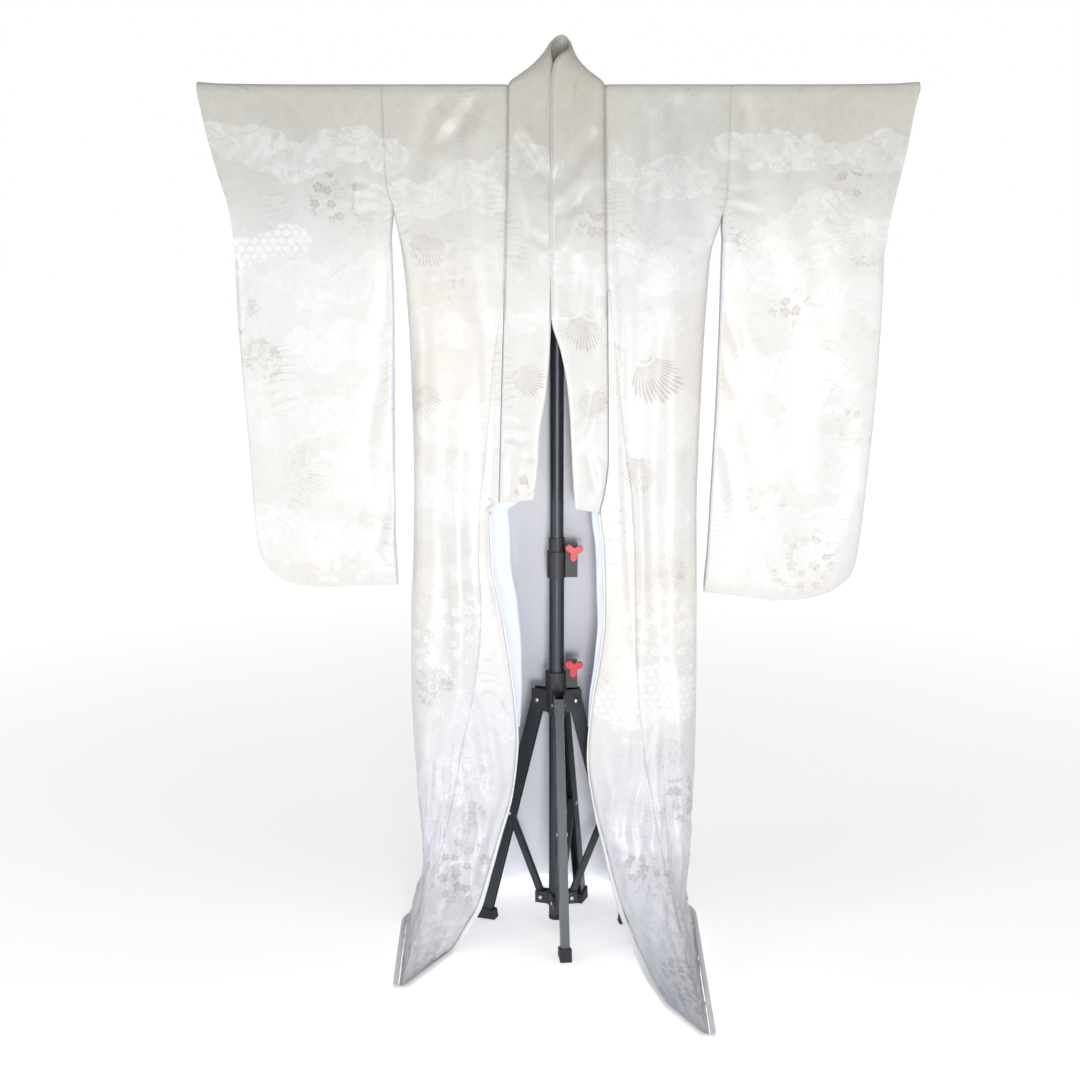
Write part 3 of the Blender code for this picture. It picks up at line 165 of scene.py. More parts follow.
# The collar band from the left lower end, up over the left shoulder, round the back of the neck to its
# peak, and down the right front: the seam edge's x, y and z and the free edge's, in millimetres.
COLLAR = np.array((
    (-107.5, -42.5, 848.5, -42.6, -50, 854.5), (-106.4, -40, 914, -35.2, -48.5, 914),
    (-104.8, -37.2, 978.6, -31.5, -46.5, 978.6), (-103, -34.2, 1044.7, -20.5, -44.5, 1044.7),
    (-100, -30, 1115, -14, -42.5, 1115), (-98, -26.2, 1180, -11, -40.5, 1180), (-95.5, -22, 1280, -5, -38.5, 1280),
    (-93.5, -18.5, 1390, -4, -36, 1390), (-91.5, -15.5, 1490, -4, -33.5, 1500), (-89.8, -12.6, 1583, -5, -32.5, 1600),
    (-88.8, -10.5, 1594.5, -8, -29, 1629), (-86.5, -2, 1600, -11, -18, 1647), (-81, 9.5, 1595, -12, -4, 1659),
    (-54.5, 14.8, 1585, -10, 14, 1673), (-22, 15.8, 1579.5, -3, 31, 1685), (10, 16.2, 1576.5, 9.5, 44, 1692),
    (32, 15.8, 1580, 19, 33, 1682), (53, 14.8, 1585.5, 21, 13, 1669), (77, 9.5, 1595, 16, -8, 1658),
    (82, -2, 1600, 6, -24, 1650), (84.2, -10.5, 1594.5, -6, -35.5, 1636), (85.3, -12.6, 1583, -12, -39, 1610),
    (87, -15.5, 1490, -13, -40.5, 1500), (89, -18.5, 1390, -13, -42.5, 1390), (91.2, -22, 1280, -12.5, -44.5, 1280),
    (92.5, -26, 1185, -11, -46.5, 1185), (93.2, -29, 1125, 6, -47, 1125), (93.8, -31.8, 1061.6, 17.8, -47.5, 1061.6),
    (94.3, -34.8, 995.7, 23.5, -48.5, 995.7), (93, -38.5, 920, 27.5, -49.5, 912), (87, -40.5, 875, 30, -50, 874),
    (81, -41.5, 838.5, 32.2, -50.6, 847), (79, -43, 828.5, 33, -51, 838.1),
)) / 1000
COLLAR_COVER_FIRST, COLLAR_COVER_LAST = 5, 26   # sections between which the cover lies on the band

# The largest folds, as troughs (negative) and ridges across a panel: where they run and how deep.
FRONT_FOLDS = {
    "left": named(Fold, 0, (
        (0.95, 0.1, 0.35, 0.2, 0.12, 0.005), (0.7, 0.05, 0.62, 0.55, 0.1, -0.005),
        (0.55, 0.1, 0.15, 0.8, 0.12, 0.004),
    )),
    "right": named(Fold, 0, (
        (1.25, 0.3, 0.1, 0.05, 0.1, 0.004), (0.75, 0.05, 0.45, 0.3, 0.12, -0.0055),
        (0.6, 0.05, 0.7, 0.65, 0.1, 0.005),
    )),
}
BACK_FOLDS = {
    "left": named(Fold, 0, (
        (1.25, 0.04, 0.3, 0.34, 0.1, 0.006), (1, 0.06, 0.62, 0.55, 0.1, -0.006),
    )),
    "right": named(Fold, 0, (
        (1.15, 0.06, 0.38, 0.3, 0.1, 0.006), (0.9, 0.04, 0.7, 0.66, 0.1, -0.005),
    )),
}


# ---------------- surfaces of the garment
BEND_ANGLES = np.linspace(0.0, math.pi, 11)[1:-1]     # round the crossbar, from front to back
COLLAR_SEWN = 1.584         # height below which the collar band follows the front edges


def smooth(knots, values, at):
    """A monotone cubic through the points (knots, values), read at the numbers in at."""
    order = np.argsort(knots)
    x = np.asarray(knots, float)[order]
    y = np.asarray(values, float)[order]
    step = np.diff(x)
    rise = np.diff(y) / step
    slope = np.zeros_like(y)
    slope[0], slope[-1] = rise[0], rise[-1]
    product = rise[:-1] * rise[1:]
    total = np.where(np.abs(rise[:-1] + rise[1:]) < 1e-12, 1.0, rise[:-1] + rise[1:])
    slope[1:-1] = np.where(product > 0.0, 2.0 * product / total, 0.0)
    at = np.clip(np.asarray(at, float), x[0], x[-1])
    k = np.clip(np.searchsorted(x, at) - 1, 0, len(x) - 2)
    t = (at - x[k]) / step[k]
    return ((1 + 2 * t) * (1 - t) ** 2 * y[k] + t * (1 - t) ** 2 * step[k] * slope[k]
            + t * t * (3 - 2 * t) * y[k + 1] + t * t * (t - 1) * step[k] * slope[k + 1])


def columns_of(table, names, levels):
    """The named columns of a table of sections, each read at the given heights, one height to a row."""
    return [smooth([row.z for row in table], [getattr(row, name) for row in table], levels)[:, None]
            for name in names.split()]


def grid_of(side, out, fwd, height):
    """Points of a surface on one side of the middle, from distances out and forwards and heights."""
    return np.stack([SIGN[side] * out, -np.broadcast_to(fwd, out.shape), np.broadcast_to(height, out.shape)],
                    axis=-1)


def corner(u):
    """0 along a panel, then a quarter ellipse that rises to 1 at its end."""
    t = np.clip((u - CORNER_START) / (1.0 - CORNER_START), 0.0, 1.0)
    return 1.0 - np.sqrt(1.0 - t * t)


def rounded(distance, radius):
    """0 at an edge and 1 from the given distance on, as a quarter circle rises."""
    return np.sqrt(1.0 - (1.0 - np.clip(distance / radius, 0.0, 1.0)) ** 2)


def fold_depth(folds, levels, u):
    """Sum of soft ridges and troughs, each a bell across the panel that fades at both ends."""
    depth = np.zeros((len(levels), len(u)))
    for fold in folds:
        along = (fold.z_top - levels) / (fold.z_top - fold.z_low)
        fade = np.where((along > 0) & (along < 1), np.sin(np.pi * np.clip(along, 0, 1)) ** 0.7, 0.0)
        middle = fold.u_top + (fold.u_low - fold.u_top) * along
        bell = np.exp(-((u[None, :] - middle[:, None]) / fold.width) ** 2)
        depth += fold.depth * fade[:, None] * bell
    return depth * (np.sin(np.pi * u) ** 0.5)[None, :]


def front_surface(side, levels, u):
    """Inner face of a front: straight from the overlap seam (u = 0) across, then a quarter ellipse
    into the side seam (u = 1), plus its folds."""
    seam_out, seam_fwd, side_out, side_fwd, turn = columns_of(
        FRONT[side], "seam_out seam_fwd side_out side_fwd turn", levels)
    side_out = side_out - 2 * GAP
    seam_out = seam_out + GAP / 2
    bend = (1.0 - turn) * u + turn * corner(u)
    out = seam_out + (side_out - seam_out) * u
    fwd = seam_fwd + (side_fwd + GAP / 2 - seam_fwd) * bend
    depth = fold_depth(FRONT_FOLDS[side], levels, u)
    return grid_of(side, out, fwd + depth, levels[:, None])


def overlap_surface(side, levels, u):
    """Inner face of an overlap panel: straight lines from its free edge (u = 0) to its seam (u = 1)."""
    edge_out, edge_fwd, seam_out, seam_fwd = columns_of(FRONT[side], "edge_out edge_fwd seam_out seam_fwd", levels)
    seam_out = seam_out - GAP / 2
    out = edge_out + (seam_out - edge_out) * u
    fwd = edge_fwd + (seam_fwd - edge_fwd) * u
    return grid_of(side, out, fwd, levels[:, None])


def back_surface(side, levels, u):
    """Inner face of the back: from the centre seam or neckline (u = 0) a mix of a cosine and a quarter
    ellipse to the side seam (u = 1), plus its folds."""
    neck_out = FRONT[side][0].seam_out
    share = np.interp(-levels, [-z for z in NECKLINE["z"]], NECKLINE["share"])
    inner_out = (neck_out * share + GAP / 2)[:, None]
    side_out, side_fwd = columns_of(FRONT[side], "side_out side_fwd", levels)
    side_out = side_out - 2 * GAP
    side_aft = np.where((levels > OPEN_SIDE)[:, None], side_fwd, -side_fwd) + GAP / 2
    aft, turn = columns_of(BACK, "aft turn", levels)
    centre_aft = aft * (1.0 - share[:, None]) + DRAPE_RADIUS * share[:, None]
    bend = (1.0 - turn) * (1.0 - np.cos(math.pi / 2 * u)) + turn * corner(u)
    out = inner_out + (side_out - inner_out) * u
    depth = fold_depth(BACK_FOLDS[side], levels, u)
    return grid_of(side, out, -(centre_aft + (side_aft - centre_aft) * bend + depth), levels[:, None])


def distance_along(points):
    """Distance along a line of points, from its start."""
    return np.concatenate([[0.0], np.cumsum(np.linalg.norm(np.diff(points, axis=0), axis=1))])


def even_levels(surface, side, u, top, low, spacing):
    """Heights from top to low that stand at equal distances along a surface's line at the share u."""
    fine = np.linspace(top, low, 6000)
    run = distance_along(surface(side, fine, np.array([u]))[:, 0])
    count = max(2, int(round(run[-1] / spacing)) + 1)
    return np.interp(np.linspace(0.0, run[-1], count), run, fine)


def run_along(points, axis):
    """Distance along each row or column of a grid of points, from its start."""
    steps = np.linalg.norm(np.diff(points, axis=axis), axis=-1)
    total = np.cumsum(steps, axis=axis)
    return np.concatenate([np.zeros_like(np.take(total, [0], axis=axis)), total], axis=axis)


def body_columns(count):
    """Shares across a body panel, evenly spaced and closer together round the corner."""
    flat_columns = 0.62                             # share of the columns before the corner
    flat = np.linspace(0.0, CORNER_START, int(count * flat_columns))
    bend = CORNER_START + (1.0 - CORNER_START) * np.sin(np.linspace(0.0, np.pi / 2, count - len(flat) + 1))
    return np.concatenate([flat, bend[1:]])


def seam_drop(side, levels):
    """Cloth from the shoulder down to each level, measured along the overlap seam."""
    fine = np.linspace(DRAPE_AXIS, 0.0, 4000)
    run = distance_along(np.concatenate([*columns_of(FRONT[side], "seam_out seam_fwd", fine), fine[:, None]], axis=1))
    return DRAPE_RADIUS * math.pi / 2 + np.interp(-np.asarray(levels), -fine, run)


def bend_over(side, out, rise=0.0):
    """A half circle of cloth over the crossbar from front to back, for rows or a row of distances out."""
    angles = BEND_ANGLES[:, None]
    out = np.broadcast_to(out, (len(angles), np.shape(out)[-1]))
    return grid_of(side, out, DRAPE_RADIUS * np.cos(angles), DRAPE_AXIS + DRAPE_RADIUS * np.sin(angles) + rise)


def body_strip(side, spacing, count):
    """A whole body strip: up the front, a half circle over the crossbar and down the back. Returns the
    inner face and its place on the cloth: distance out, and distance from the shoulder, front negative."""
    u = body_columns(count)
    front_levels = even_levels(front_surface, side, 0.4, DRAPE_AXIS, 0.0, spacing)
    back_levels = even_levels(back_surface, side, 0.5, DRAPE_AXIS, 0.0, spacing)
    back_levels = np.unique(np.concatenate([back_levels, NECKLINE["z"]]))[::-1]
    front = front_surface(side, front_levels, u)
    back = back_surface(side, back_levels, u)
    first = FRONT[side][0]
    inner = first.seam_out + GAP / 2
    side_out = first.side_out - 2 * GAP
    tuck = np.interp(BEND_ANGLES, (math.pi / 2, math.pi), (1.0, NECKLINE["share"][0]))[:, None]
    points = np.concatenate([front[::-1], bend_over(side, inner * tuck + (side_out - inner * tuck) * u), back])
    sign = SIGN[side]
    across = points[:, :1, 0] * sign + run_along(points, 1)
    drop = run_along(points, 0)
    top = len(front) + len(BEND_ANGLES) // 2
    down = np.broadcast_to((drop - drop[top:top + 1])[:, 12:13], across.shape).copy()
    down[:len(front)] = -seam_drop(side, front_levels)[::-1, None]
    return points, sign * across, down


def sleeve_surface(side, spacing, count):
    """A sleeve: front layer, a half circle over the crossbar, back layer; the layers stand apart by a
    quarter ellipse that closes at the outer edge and along the bottom. Returns the inner face and its
    place on the cloth."""
    table = SLEEVE[side]
    bottom, top = table[-1].z, table[0].z
    rows = int((top - bottom) / spacing)
    share = np.linspace(0.0, 1.0, rows)
    levels = bottom + (top - bottom) * (1.0 - share) ** (1.0 + 0.25 * share)
    inner, outer, half, closed = columns_of(table, "inner outer half closed", levels)
    (body,) = columns_of(FRONT[side], "side_out", levels)
    sewn = np.clip((levels[:, None] - OPEN_SIDE) / 0.06, 0.0, 1.0)
    inner = inner + (body - inner) * sewn
    bend, turn = 14, 0.88                           # columns of the rounded edge, and where it starts
    flat = np.linspace(0.0, turn, count - bend)
    u = np.concatenate([flat, turn + (1.0 - turn) * np.sin(np.linspace(0.0, np.pi / 2, bend + 1))[1:]])
    out = inner + (outer - inner) * u
    beside = 1.0 - closed + closed * rounded(outer - out, 0.030)
    space = half * beside * rounded(levels[:, None] - bottom, 0.024)
    height = np.broadcast_to(levels[:, None], out.shape)
    rise = smooth(SLEEVE_LIFT["out"], SLEEVE_LIFT["rise"], out) * np.clip((height - LIFT_LOW) / 0.2, 0.0, 1.0)
    inwards = np.clip((SLEEVE_LOWEST - out) / (SLEEVE_LOWEST - inner), 0.0, 1.0)
    rise = rise + SLEEVE_HEM_RISE[side] * inwards * np.clip(
        (HEM_RISE_TOP - height) / (HEM_RISE_TOP - bottom), 0.0, 1.0)
    front = grid_of(side, out, space, height + rise)
    back = front * np.array([1.0, -1.0, 1.0])
    points = np.concatenate([front[::-1], bend_over(side, out[0], rise[0]), back])
    drop = run_along(points, 0)
    middle = len(front) + len(BEND_ANGLES) // 2
    down = drop - drop[middle:middle + 1]
    return points, points[..., 0].copy(), np.broadcast_to(down[:, 20:21], points.shape[:2]).copy()


def collar_surface(share, spacing=None):
    """The collar band's inner face: straight lines from the seam edge to the free edge; with a spacing,
    the sections between are a smooth curve through those of the table."""
    rows = COLLAR.copy()
    if spacing:
        run = distance_along(rows[:, :3])
        at = np.unique(np.concatenate([np.linspace(0.0, run[-1], int(run[-1] / spacing)), run]))
        rows = np.stack([smooth(run, rows[:, k], at) for k in range(6)], axis=1)
    for row in rows:
        if row[2] < COLLAR_SEWN and abs(row[0]) > 0.06:
            edge = columns_of(FRONT["left" if row[0] < 0 else "right"], "edge_out edge_fwd", row[2:3])
            out, fwd = (float(value[0, 0]) for value in edge)
            row[:2] = math.copysign(out - 4 * GAP, row[0]), -fwd
    seam, free = rows[:, None, :3], rows[:, None, 3:]
    across = np.asarray(share)[None, :, None]
    return seam + (free - seam) * across


def outward_normals(points, flip):
    """Unit normals of a grid: rows crossed with columns, turned to face outwards."""
    normal = np.cross(np.gradient(points, axis=0), np.gradient(points, axis=1))
    length = np.linalg.norm(normal, axis=-1, keepdims=True)
    normal = normal / np.where(length < 1e-12, 1.0, length)
    return -normal if flip else normal


def hem_side(surface, side, u, flip):
    """Hem points of a panel and, at each, the level direction that points out of the garment."""
    before, after, hem = (surface(side, np.array([0.0]), np.clip(u + step, 0.0, 1.0))[0]
                          for step in (-0.01, 0.01, 0.0))
    up = surface(side, np.array([0.004]), u)[0] - hem
    normal = np.cross(up, after - before) * (-1.0 if flip else 1.0)
    normal[:, 2] = 0.0
    return hem, normal / np.linalg.norm(normal, axis=1, keepdims=True)


# ---------------- soft creases
# Troughs (negative depth) and ridges: from (x0, d0) to (x1, d1) on the cloth, where x is the distance to
# the right of the middle and d the cloth's length down from the shoulder.
FRONT_CREASES = {
    "left": named(Crease, 7, (
        (-140, 10, -215, 120, 16, -3.5, 10, 0.5), (-205, 12, -265, 200, 18, -3, -8, 0.4),
        (-200, 80, -165, 300, 22, -3, -12, 0.3), (-106, 250, -135, 900, 10, -2.2, 4, -0.6),
        (-160, 1120, -128, 1330, 9, -4.5, 6, 0.8), (-192, 1200, -140, 1420, 10, -4.5, 8, 0.7),
        (-215, 1380, -150, 1560, 12, -5, -10, 0.8), (-240, 1300, -215, 1520, 16, -4.5, 12, 0.5),
        (-262, 1400, -225, 1640, 10, -5, 10, 0.7), (-180, 1480, -240, 1700, 12, -4.5, 10, 0.7),
        (-285, 1430, -262, 1620, 10, -4, -6, 0.6), (-236, 260, -248, 700, 22, 3.6, 6, 0),
        (-138, 180, -128, 980, 16, -4, 10, 0.7), (-188, 90, -150, 420, 15, -3.8, -10, 0.6),
        (-176, 560, -168, 1160, 18, 3.4, -12, 0.3), (-222, 760, -214, 1280, 16, -3.6, 10, 0.6),
    )),
    "right": named(Crease, 7, (
        (118, 300, 150, 1080, 8, -4.2, -10, -1.1), (104, 120, 120, 420, 10, -2.6, -4, -0.8),
        (215, 15, 190, 150, 18, -3.4, 8, 0.4), (262, 20, 240, 240, 16, -3, -6, 0.4),
        (150, 1160, 128, 1420, 9, -4.5, 6, 0.8), (180, 1180, 160, 1520, 11, -4.8, -10, 0.7),
        (142, 1360, 205, 1660, 9, -5.5, 12, 0.9), (165, 1480, 215, 1760, 9, -5, 6, 0.8),
        (238, 1420, 225, 1600, 10, -4.5, -8, 0.6), (262, 1500, 240, 1800, 10, -4.5, 8, 0.7),
        (205, 300, 225, 760, 22, 3.6, -6, 0), (168, 60, 140, 360, 15, -4, 10, 0.6),
        (196, 420, 184, 1020, 16, -3.6, -12, 0.6), (236, 640, 222, 1240, 16, -3.4, 10, 0.5),
        (156, 760, 150, 1200, 14, 3, 6, 0.3),
    )),
}
BACK_CREASES = {
    "left": named(Crease, 7, (
        (-60, 50, -140, 360, 18, -3.2, 12, 0.4), (-230, 30, -200, 320, 18, -3, -8, 0.4),
        (-120, 700, -150, 1350, 20, -4.2, 12, 0.5), (-215, 900, -190, 1500, 18, -4.2, -12, 0.5),
        (-70, 1150, -110, 1620, 14, -4.5, 10, 0.6), (-250, 1250, -210, 1640, 12, -4.2, 10, 0.6),
        (-150, 1380, -60, 1600, 12, -4, -10, 0.6),
    )),
    "right": named(Crease, 7, (
        (55, 50, 120, 300, 18, -3, -10, 0.4), (235, 30, 190, 260, 18, -3.4, 8, 0.4),
        (110, 620, 135, 1320, 20, -4.2, -10, 0.5), (205, 820, 180, 1480, 18, -4.2, 14, 0.5),
        (60, 1080, 100, 1600, 14, -4.5, -10, 0.6), (165, 1300, 235, 1660, 12, -4.5, 10, 0.6),
    )),
}
SLEEVE_CREASES = {
    "left": named(Crease, 7, (
        (-312, 196, -372, 176, 4.5, -2.2, 2, 0.8), (-312, 208, -380, 206, 4.5, -2, -2, 0.8),
        (-312, 222, -364, 240, 5, -1.8, 2, 0.8), (-306, 300, -345, 520, 16, -3, 12, 0.6),
        (-310, 480, -352, 700, 14, -2.8, -10, 0.6), (-310, 720, -345, 860, 12, -2.4, 6, 0.6),
        (-600, 60, -470, 300, 30, -2.6, 12, 0.3), (-430, 20, -400, 200, 22, -2.4, 6, 0.3),
        (-560, 420, -480, 760, 30, -2.6, -15, 0.3),
    )),
    "right": named(Crease, 7, (
        (312, 200, 362, 185, 4.5, -2, 2, 0.8), (312, 216, 366, 232, 5, -1.8, -2, 0.8),
        (330, 20, 350, 180, 14, -2.8, 6, 0.5), (302, 400, 340, 520, 12, -2.2, 6, 0.6),
        (300, 470, 330, 560, 12, -2.2, -6, 0.6), (295, 620, 335, 800, 14, -2.6, 8, 0.6),
        (610, 60, 500, 260, 30, -2.6, -12, 0.3), (570, 500, 480, 860, 34, -3, 15, 0.3),
        (400, 300, 450, 640, 30, -2.4, 12, 0.3),
    )),
}
COLLAR_CREASES = named(Crease, 7, (
    (64, 85, -18, 198, 13.5, -7.8, 4, 1.2), (47, 178, -8, 285, 12, -6.6, -3, 1), (52, 205, -4, 232, 7, -4.6, 3, 0.9),
    (30, 300, 12, 440, 14, -4, 6, 0.6), (72, 330, 58, 480, 10, -3.6, -4, 0.6), (60, 540, 36, 640, 9.5, -3.7, 6, 0.9),
    (52, 660, 70, 730, 8, -2.7, 3, 0.8), (-72, 90, -16, 172, 12.5, -6.8, -6, 1),
    (-50, 262, -22, 290, 8, -3.6, 3, 0.8), (-78, 180, -62, 330, 12, -3.4, 6, 0.5),
    (-98, 628, -60, 640, 7, -4.1, 2, 0.9), (-60, 660, -44, 672, 6, -3.1, 1, 0.8),
    (-88, 672, -86, 740, 7, -2.7, 2, 0.8),
))


def crease_field(creases, across, down):
    """Sum of creases: each is depth times a bell of the distance from its bowed line, less a wider bell
    beside it, and fades in and out along the line as a sine's root."""
    depth = np.zeros(np.shape(across))
    for line in creases:
        run = np.array([line.x1 - line.x0, line.d1 - line.d0])
        length = math.hypot(*run)
        run = run / length
        along = ((across - line.x0) * run[0] + (down - line.d0) * run[1]) / length
        beside = (across - line.x0) * run[1] - (down - line.d0) * run[0]
        inside = np.clip(along, 0.0, 1.0)
        beside = beside - line.bow * np.sin(np.pi * inside)
        past = np.maximum(np.maximum(-along, along - 1.0), 0.0) * length
        fade = np.clip(np.sin(np.pi * np.clip(along * 0.94 + 0.03, 0.0, 1.0)), 0.0, 1.0) ** 0.6
        fade = fade * np.exp(-(past / 0.012) ** 2)
        width = 0.95 * line.width
        bell = np.exp(-(beside / width) ** 2)
        other = np.exp(-((beside - 1.9 * width) / (1.3 * width)) ** 2)
        depth += 1.4 * line.depth * fade * (bell - 0.6 * line.lean * other)
    return depth


def billow(across, down, seed, height):
    """Slow swell of hanging silk: six crossing sine waves, longer down the cloth than across it."""
    waves = np.random.default_rng(seed).uniform(0.0, 1.0, (6, 4))
    total = np.zeros(np.shape(across))
    for share_x, share_d, phase, size in waves:
        kx = 2 * np.pi / (0.07 + 0.16 * share_x)
        kd = 2 * np.pi / (0.30 + 0.60 * share_d) * (1 if phase > 0.5 else -1)
        total += (0.4 + 0.6 * size) * np.sin(kx * across + kd * down + 20.0 * phase)
    return total / 6.0 * height


def ease(value, low, high):
    """0 below low, 1 above high, a cubic between."""
    t = np.clip((value - low) / (high - low), 0.0, 1.0)
    return t * t * (3.0 - 2.0 * t)


# ---------------- the figured weave's layout
# Each row places one motif on the cloth: x to the right of the middle, d down from the shoulder. The
# kinds of fill are 0 plain, 1 ringed lattice, 2 honeycomb of dots and 3 fine scales; a tone above 0 is
# woven darker than the ground and one below 0 lighter.
CLOUDS = named(Cloud, 3, (
    (-440, 350, 62, 1.3, 1, 3), (-570, 310, 56, 1.1, 2, 5), (-380, 470, 50, 1.4, 0, 8), (-520, 600, 60, 0.9, 3, 9),
    (-355, 700, 50, 1.2, 3, 12), (-500, 820, 60, 1.4, 0, 14), (-420, 130, 52, 1.7, 0, 15),
    (-580, 110, 40, 1.4, 0, 17), (-225, 200, 52, 1.5, 0, 21), (-150, 330, 40, 1.5, 1, 22),
    (-235, 450, 50, 0.8, 0, 23), (-165, 620, 60, 0.8, 0, 24), (-240, 760, 52, 1.3, 0, 26),
    (-150, 900, 45, 1.5, 0, 27), (-170, 1210, 50, 1, 1, 28), (-190, 1500, 60, 1.3, 3, 29), (165, 170, 50, 1.5, 1, 31),
    (235, 330, 55, 1.5, 0, 32), (140, 430, 40, 1.3, 1, 33), (215, 620, 55, 1.4, 0, 34), (165, 800, 44, 0.9, 1, 35),
    (230, 960, 48, 1.4, 3, 36), (190, 1130, 66, 1, 2, 37), (175, 1400, 56, 1.2, 0, 38), (215, 1640, 60, 1.3, 3, 39),
    (480, 260, 60, 1.5, 0, 41), (390, 330, 45, 1.4, 0, 42), (560, 400, 50, 1.3, 1, 43), (420, 530, 58, 0.9, 2, 44),
    (350, 620, 48, 1.2, 1, 45), (530, 700, 60, 0.8, 1, 46), (410, 850, 80, 2, 3, 47), (400, 120, 45, 1.6, 0, 48),
    (590, 130, 40, 1.3, 0, 49), (-60, 140, 34, 1.3, 1, 51), (-60, 420, 36, 1.2, 0, 52), (50, 330, 36, 1.3, 0, 53),
    (60, 640, 36, 1.2, 0, 54),
))
WINGS = named(Motif, 3, (
    (-232, 285, 50, 1.9, 0.8), (-250, 560, 52, 1.2, 0.7), (-180, 720, 80, 1.7, -0.9), (-60, 520, 46, 0.4, 0.8),
    (-70, 300, 36, 1, 0.4), (-175, 430, 45, 2.4, -0.7), (175, 520, 68, 1.1, 1), (160, 700, 50, 2.3, 0.8),
    (205, 880, 50, 1, 0.7), (52, 430, 50, 1.9, 0.9), (62, 560, 42, 1.2, 0.8), (-345, 790, 45, 1.4, 0.5),
    (-480, 700, 70, 0.3, 0.4), (350, 480, 50, 0.6, 0.3), (460, 640, 60, 2.6, -0.6), (-200, 1130, 60, 1.2, -0.8),
    (180, 1300, 60, 2, -0.6), (-560, 480, 50, 0.9, 0.5),
))
WHEELS = named(Motif, 3, (
    (-235, 1110, 42, 0, 0.9), (500, 545, 62, 0.2, -0.7), (-420, 600, 40, 0.1, -0.6), (215, 1240, 36, 0.3, 0.6),
    (-165, 1370, 36, 0.2, 0.7), (390, 760, 44, 0, 0.5), (-530, 800, 44, 0.1, -0.6), (160, 1560, 40, 0, -0.6),
    (-240, 960, 34, 0, -0.5), (560, 300, 34, 0, 0.5), (-360, 250, 34, 0.4, 0.5),
))
SPRAYS = named(Spray, 3, (     # clusters of small blossoms
    (-405, 205, 60, 0.9), (-590, 410, 60, 0.6), (-540, 500, 50, 0.7), (-620, 200, 50, 0.4), (-400, 870, 80, -0.6),
    (-175, 985, 75, -1), (-230, 1045, 85, -1), (-100, 630, 30, 0.6), (530, 180, 45, 0.7), (430, 400, 50, 0.7),
    (330, 280, 40, 0.5), (560, 620, 50, 0.6), (190, 990, 85, -1), (250, 1060, 60, -0.9), (240, 1330, 60, 0.9),
    (170, 1480, 70, 0.8), (150, 1180, 60, -0.8), (-180, 1290, 75, -0.9), (-220, 1620, 100, -1), (-170, 1480, 90, 0.9),
    (230, 1740, 110, 0.9), (210, 1590, 90, -1), (150, 280, 50, 0.5), (-200, 360, 40, 0.5), (-60, 720, 28, 0.9),
    (60, 250, 40, 0.5), (460, 880, 80, 0.6),
))


def cloud_distance(across, down):
    """Distance to the nearest lobed cloud, below 0 inside it: each is a row of overlapping discs, and its kind of
    fill is given with it."""
    best = np.full(np.shape(across), 0.05)
    kind = np.zeros(np.shape(across), int)
    for cloud in CLOUDS:
        rng = np.random.default_rng(cloud.seed)
        count = 5
        grown = cloud.size * 1.3
        spots = np.linspace(-1.0, 1.0, count) * grown * cloud.stretch
        lifts = rng.uniform(-0.35, 0.35, count) * grown
        radii = grown * (0.55 + 0.35 * rng.uniform(0, 1, count)) * (1.0 - 0.35 * np.abs(np.linspace(-1, 1, count)))
        near = np.full(np.shape(across), 1.0)
        for spot, lift, radius in zip(spots, lifts, radii):
            near = np.minimum(near, np.hypot(across - cloud.x - spot, (down - cloud.d - lift) * 1.15) - radius)
        kind = np.where(near < best, cloud.kind, kind)
        best = np.minimum(best, near)
    return best, kind


def nearest_motif(motifs, across, down):
    """Place on the nearest motif of a list, in shares of its size and turned by its angle, and its tone,
    which fades to 0 just past its rim."""
    reach = np.stack([np.hypot(across - m.x, down - m.d) / m.size for m in motifs])
    pick = reach.argmin(axis=0)
    x, d, size, angle, tone = (np.array([getattr(m, name) for m in motifs])[pick]
                               for name in ("x", "d", "size", "angle", "tone"))
    dx, dd = (across - x) / size, (down - d) / size
    turned = dx * np.cos(angle) + dd * np.sin(angle), dd * np.cos(angle) - dx * np.sin(angle)
    return np.stack([*turned, tone * ease(1.35 - reach.min(axis=0), 0.0, 0.2)], axis=-1)


def weave_fields(across, down):
    """Every field that the figured weave reads, for points of the cloth."""
    distance, kind = cloud_distance(across, down)
    inside = ease(-distance, 0.0, 0.010)
    spray, tone = np.zeros(np.shape(across)), np.zeros(np.shape(across))
    for x, d, reach, shade in SPRAYS:
        mask = ease(1.0 - np.hypot(across - x, (down - d) * 1.1) / reach, 0.0, 0.35)
        tone = np.where(mask > spray, shade, tone)
        spray = np.maximum(spray, mask)
    stripes = ease(np.sin(across * 31.0 + 1.7 * np.sin(down * 9.0)) * np.sin(down * 11.0 + 2.0), 0.55, 0.8)
    return {
        "cloud": np.stack([distance, spray * tone, stripes], axis=-1),
        "wing": nearest_motif(WINGS, across, down),
        "wheel": nearest_motif(WHEELS, across, down),
        "fill": np.stack([inside * (kind == k) for k in (1, 2, 3)], axis=-1),
    }
# ---------------- shader nodes
def arithmetic(operation, swapped=False):
    """A Wire's method that adds a Math node for it and another value."""
    def method(wire, other):
        return wire.wiring.math(operation, *((other, wire) if swapped else (wire, other)))
    return method


class Wire:
    """A value that a node puts out; arithmetic with it adds Math nodes."""
    __add__ = __radd__ = arithmetic("ADD")
    __mul__ = __rmul__ = arithmetic("MULTIPLY")
    __sub__, __rsub__ = arithmetic("SUBTRACT"), arithmetic("SUBTRACT", True)
    __truediv__, __rtruediv__ = arithmetic("DIVIDE"), arithmetic("DIVIDE", True)
    __pow__ = arithmetic("POWER")

    def __init__(self, wiring, socket):
        self.wiring, self.socket = wiring, socket

    def __abs__(self):
        return self.wiring.math("ABSOLUTE", self)


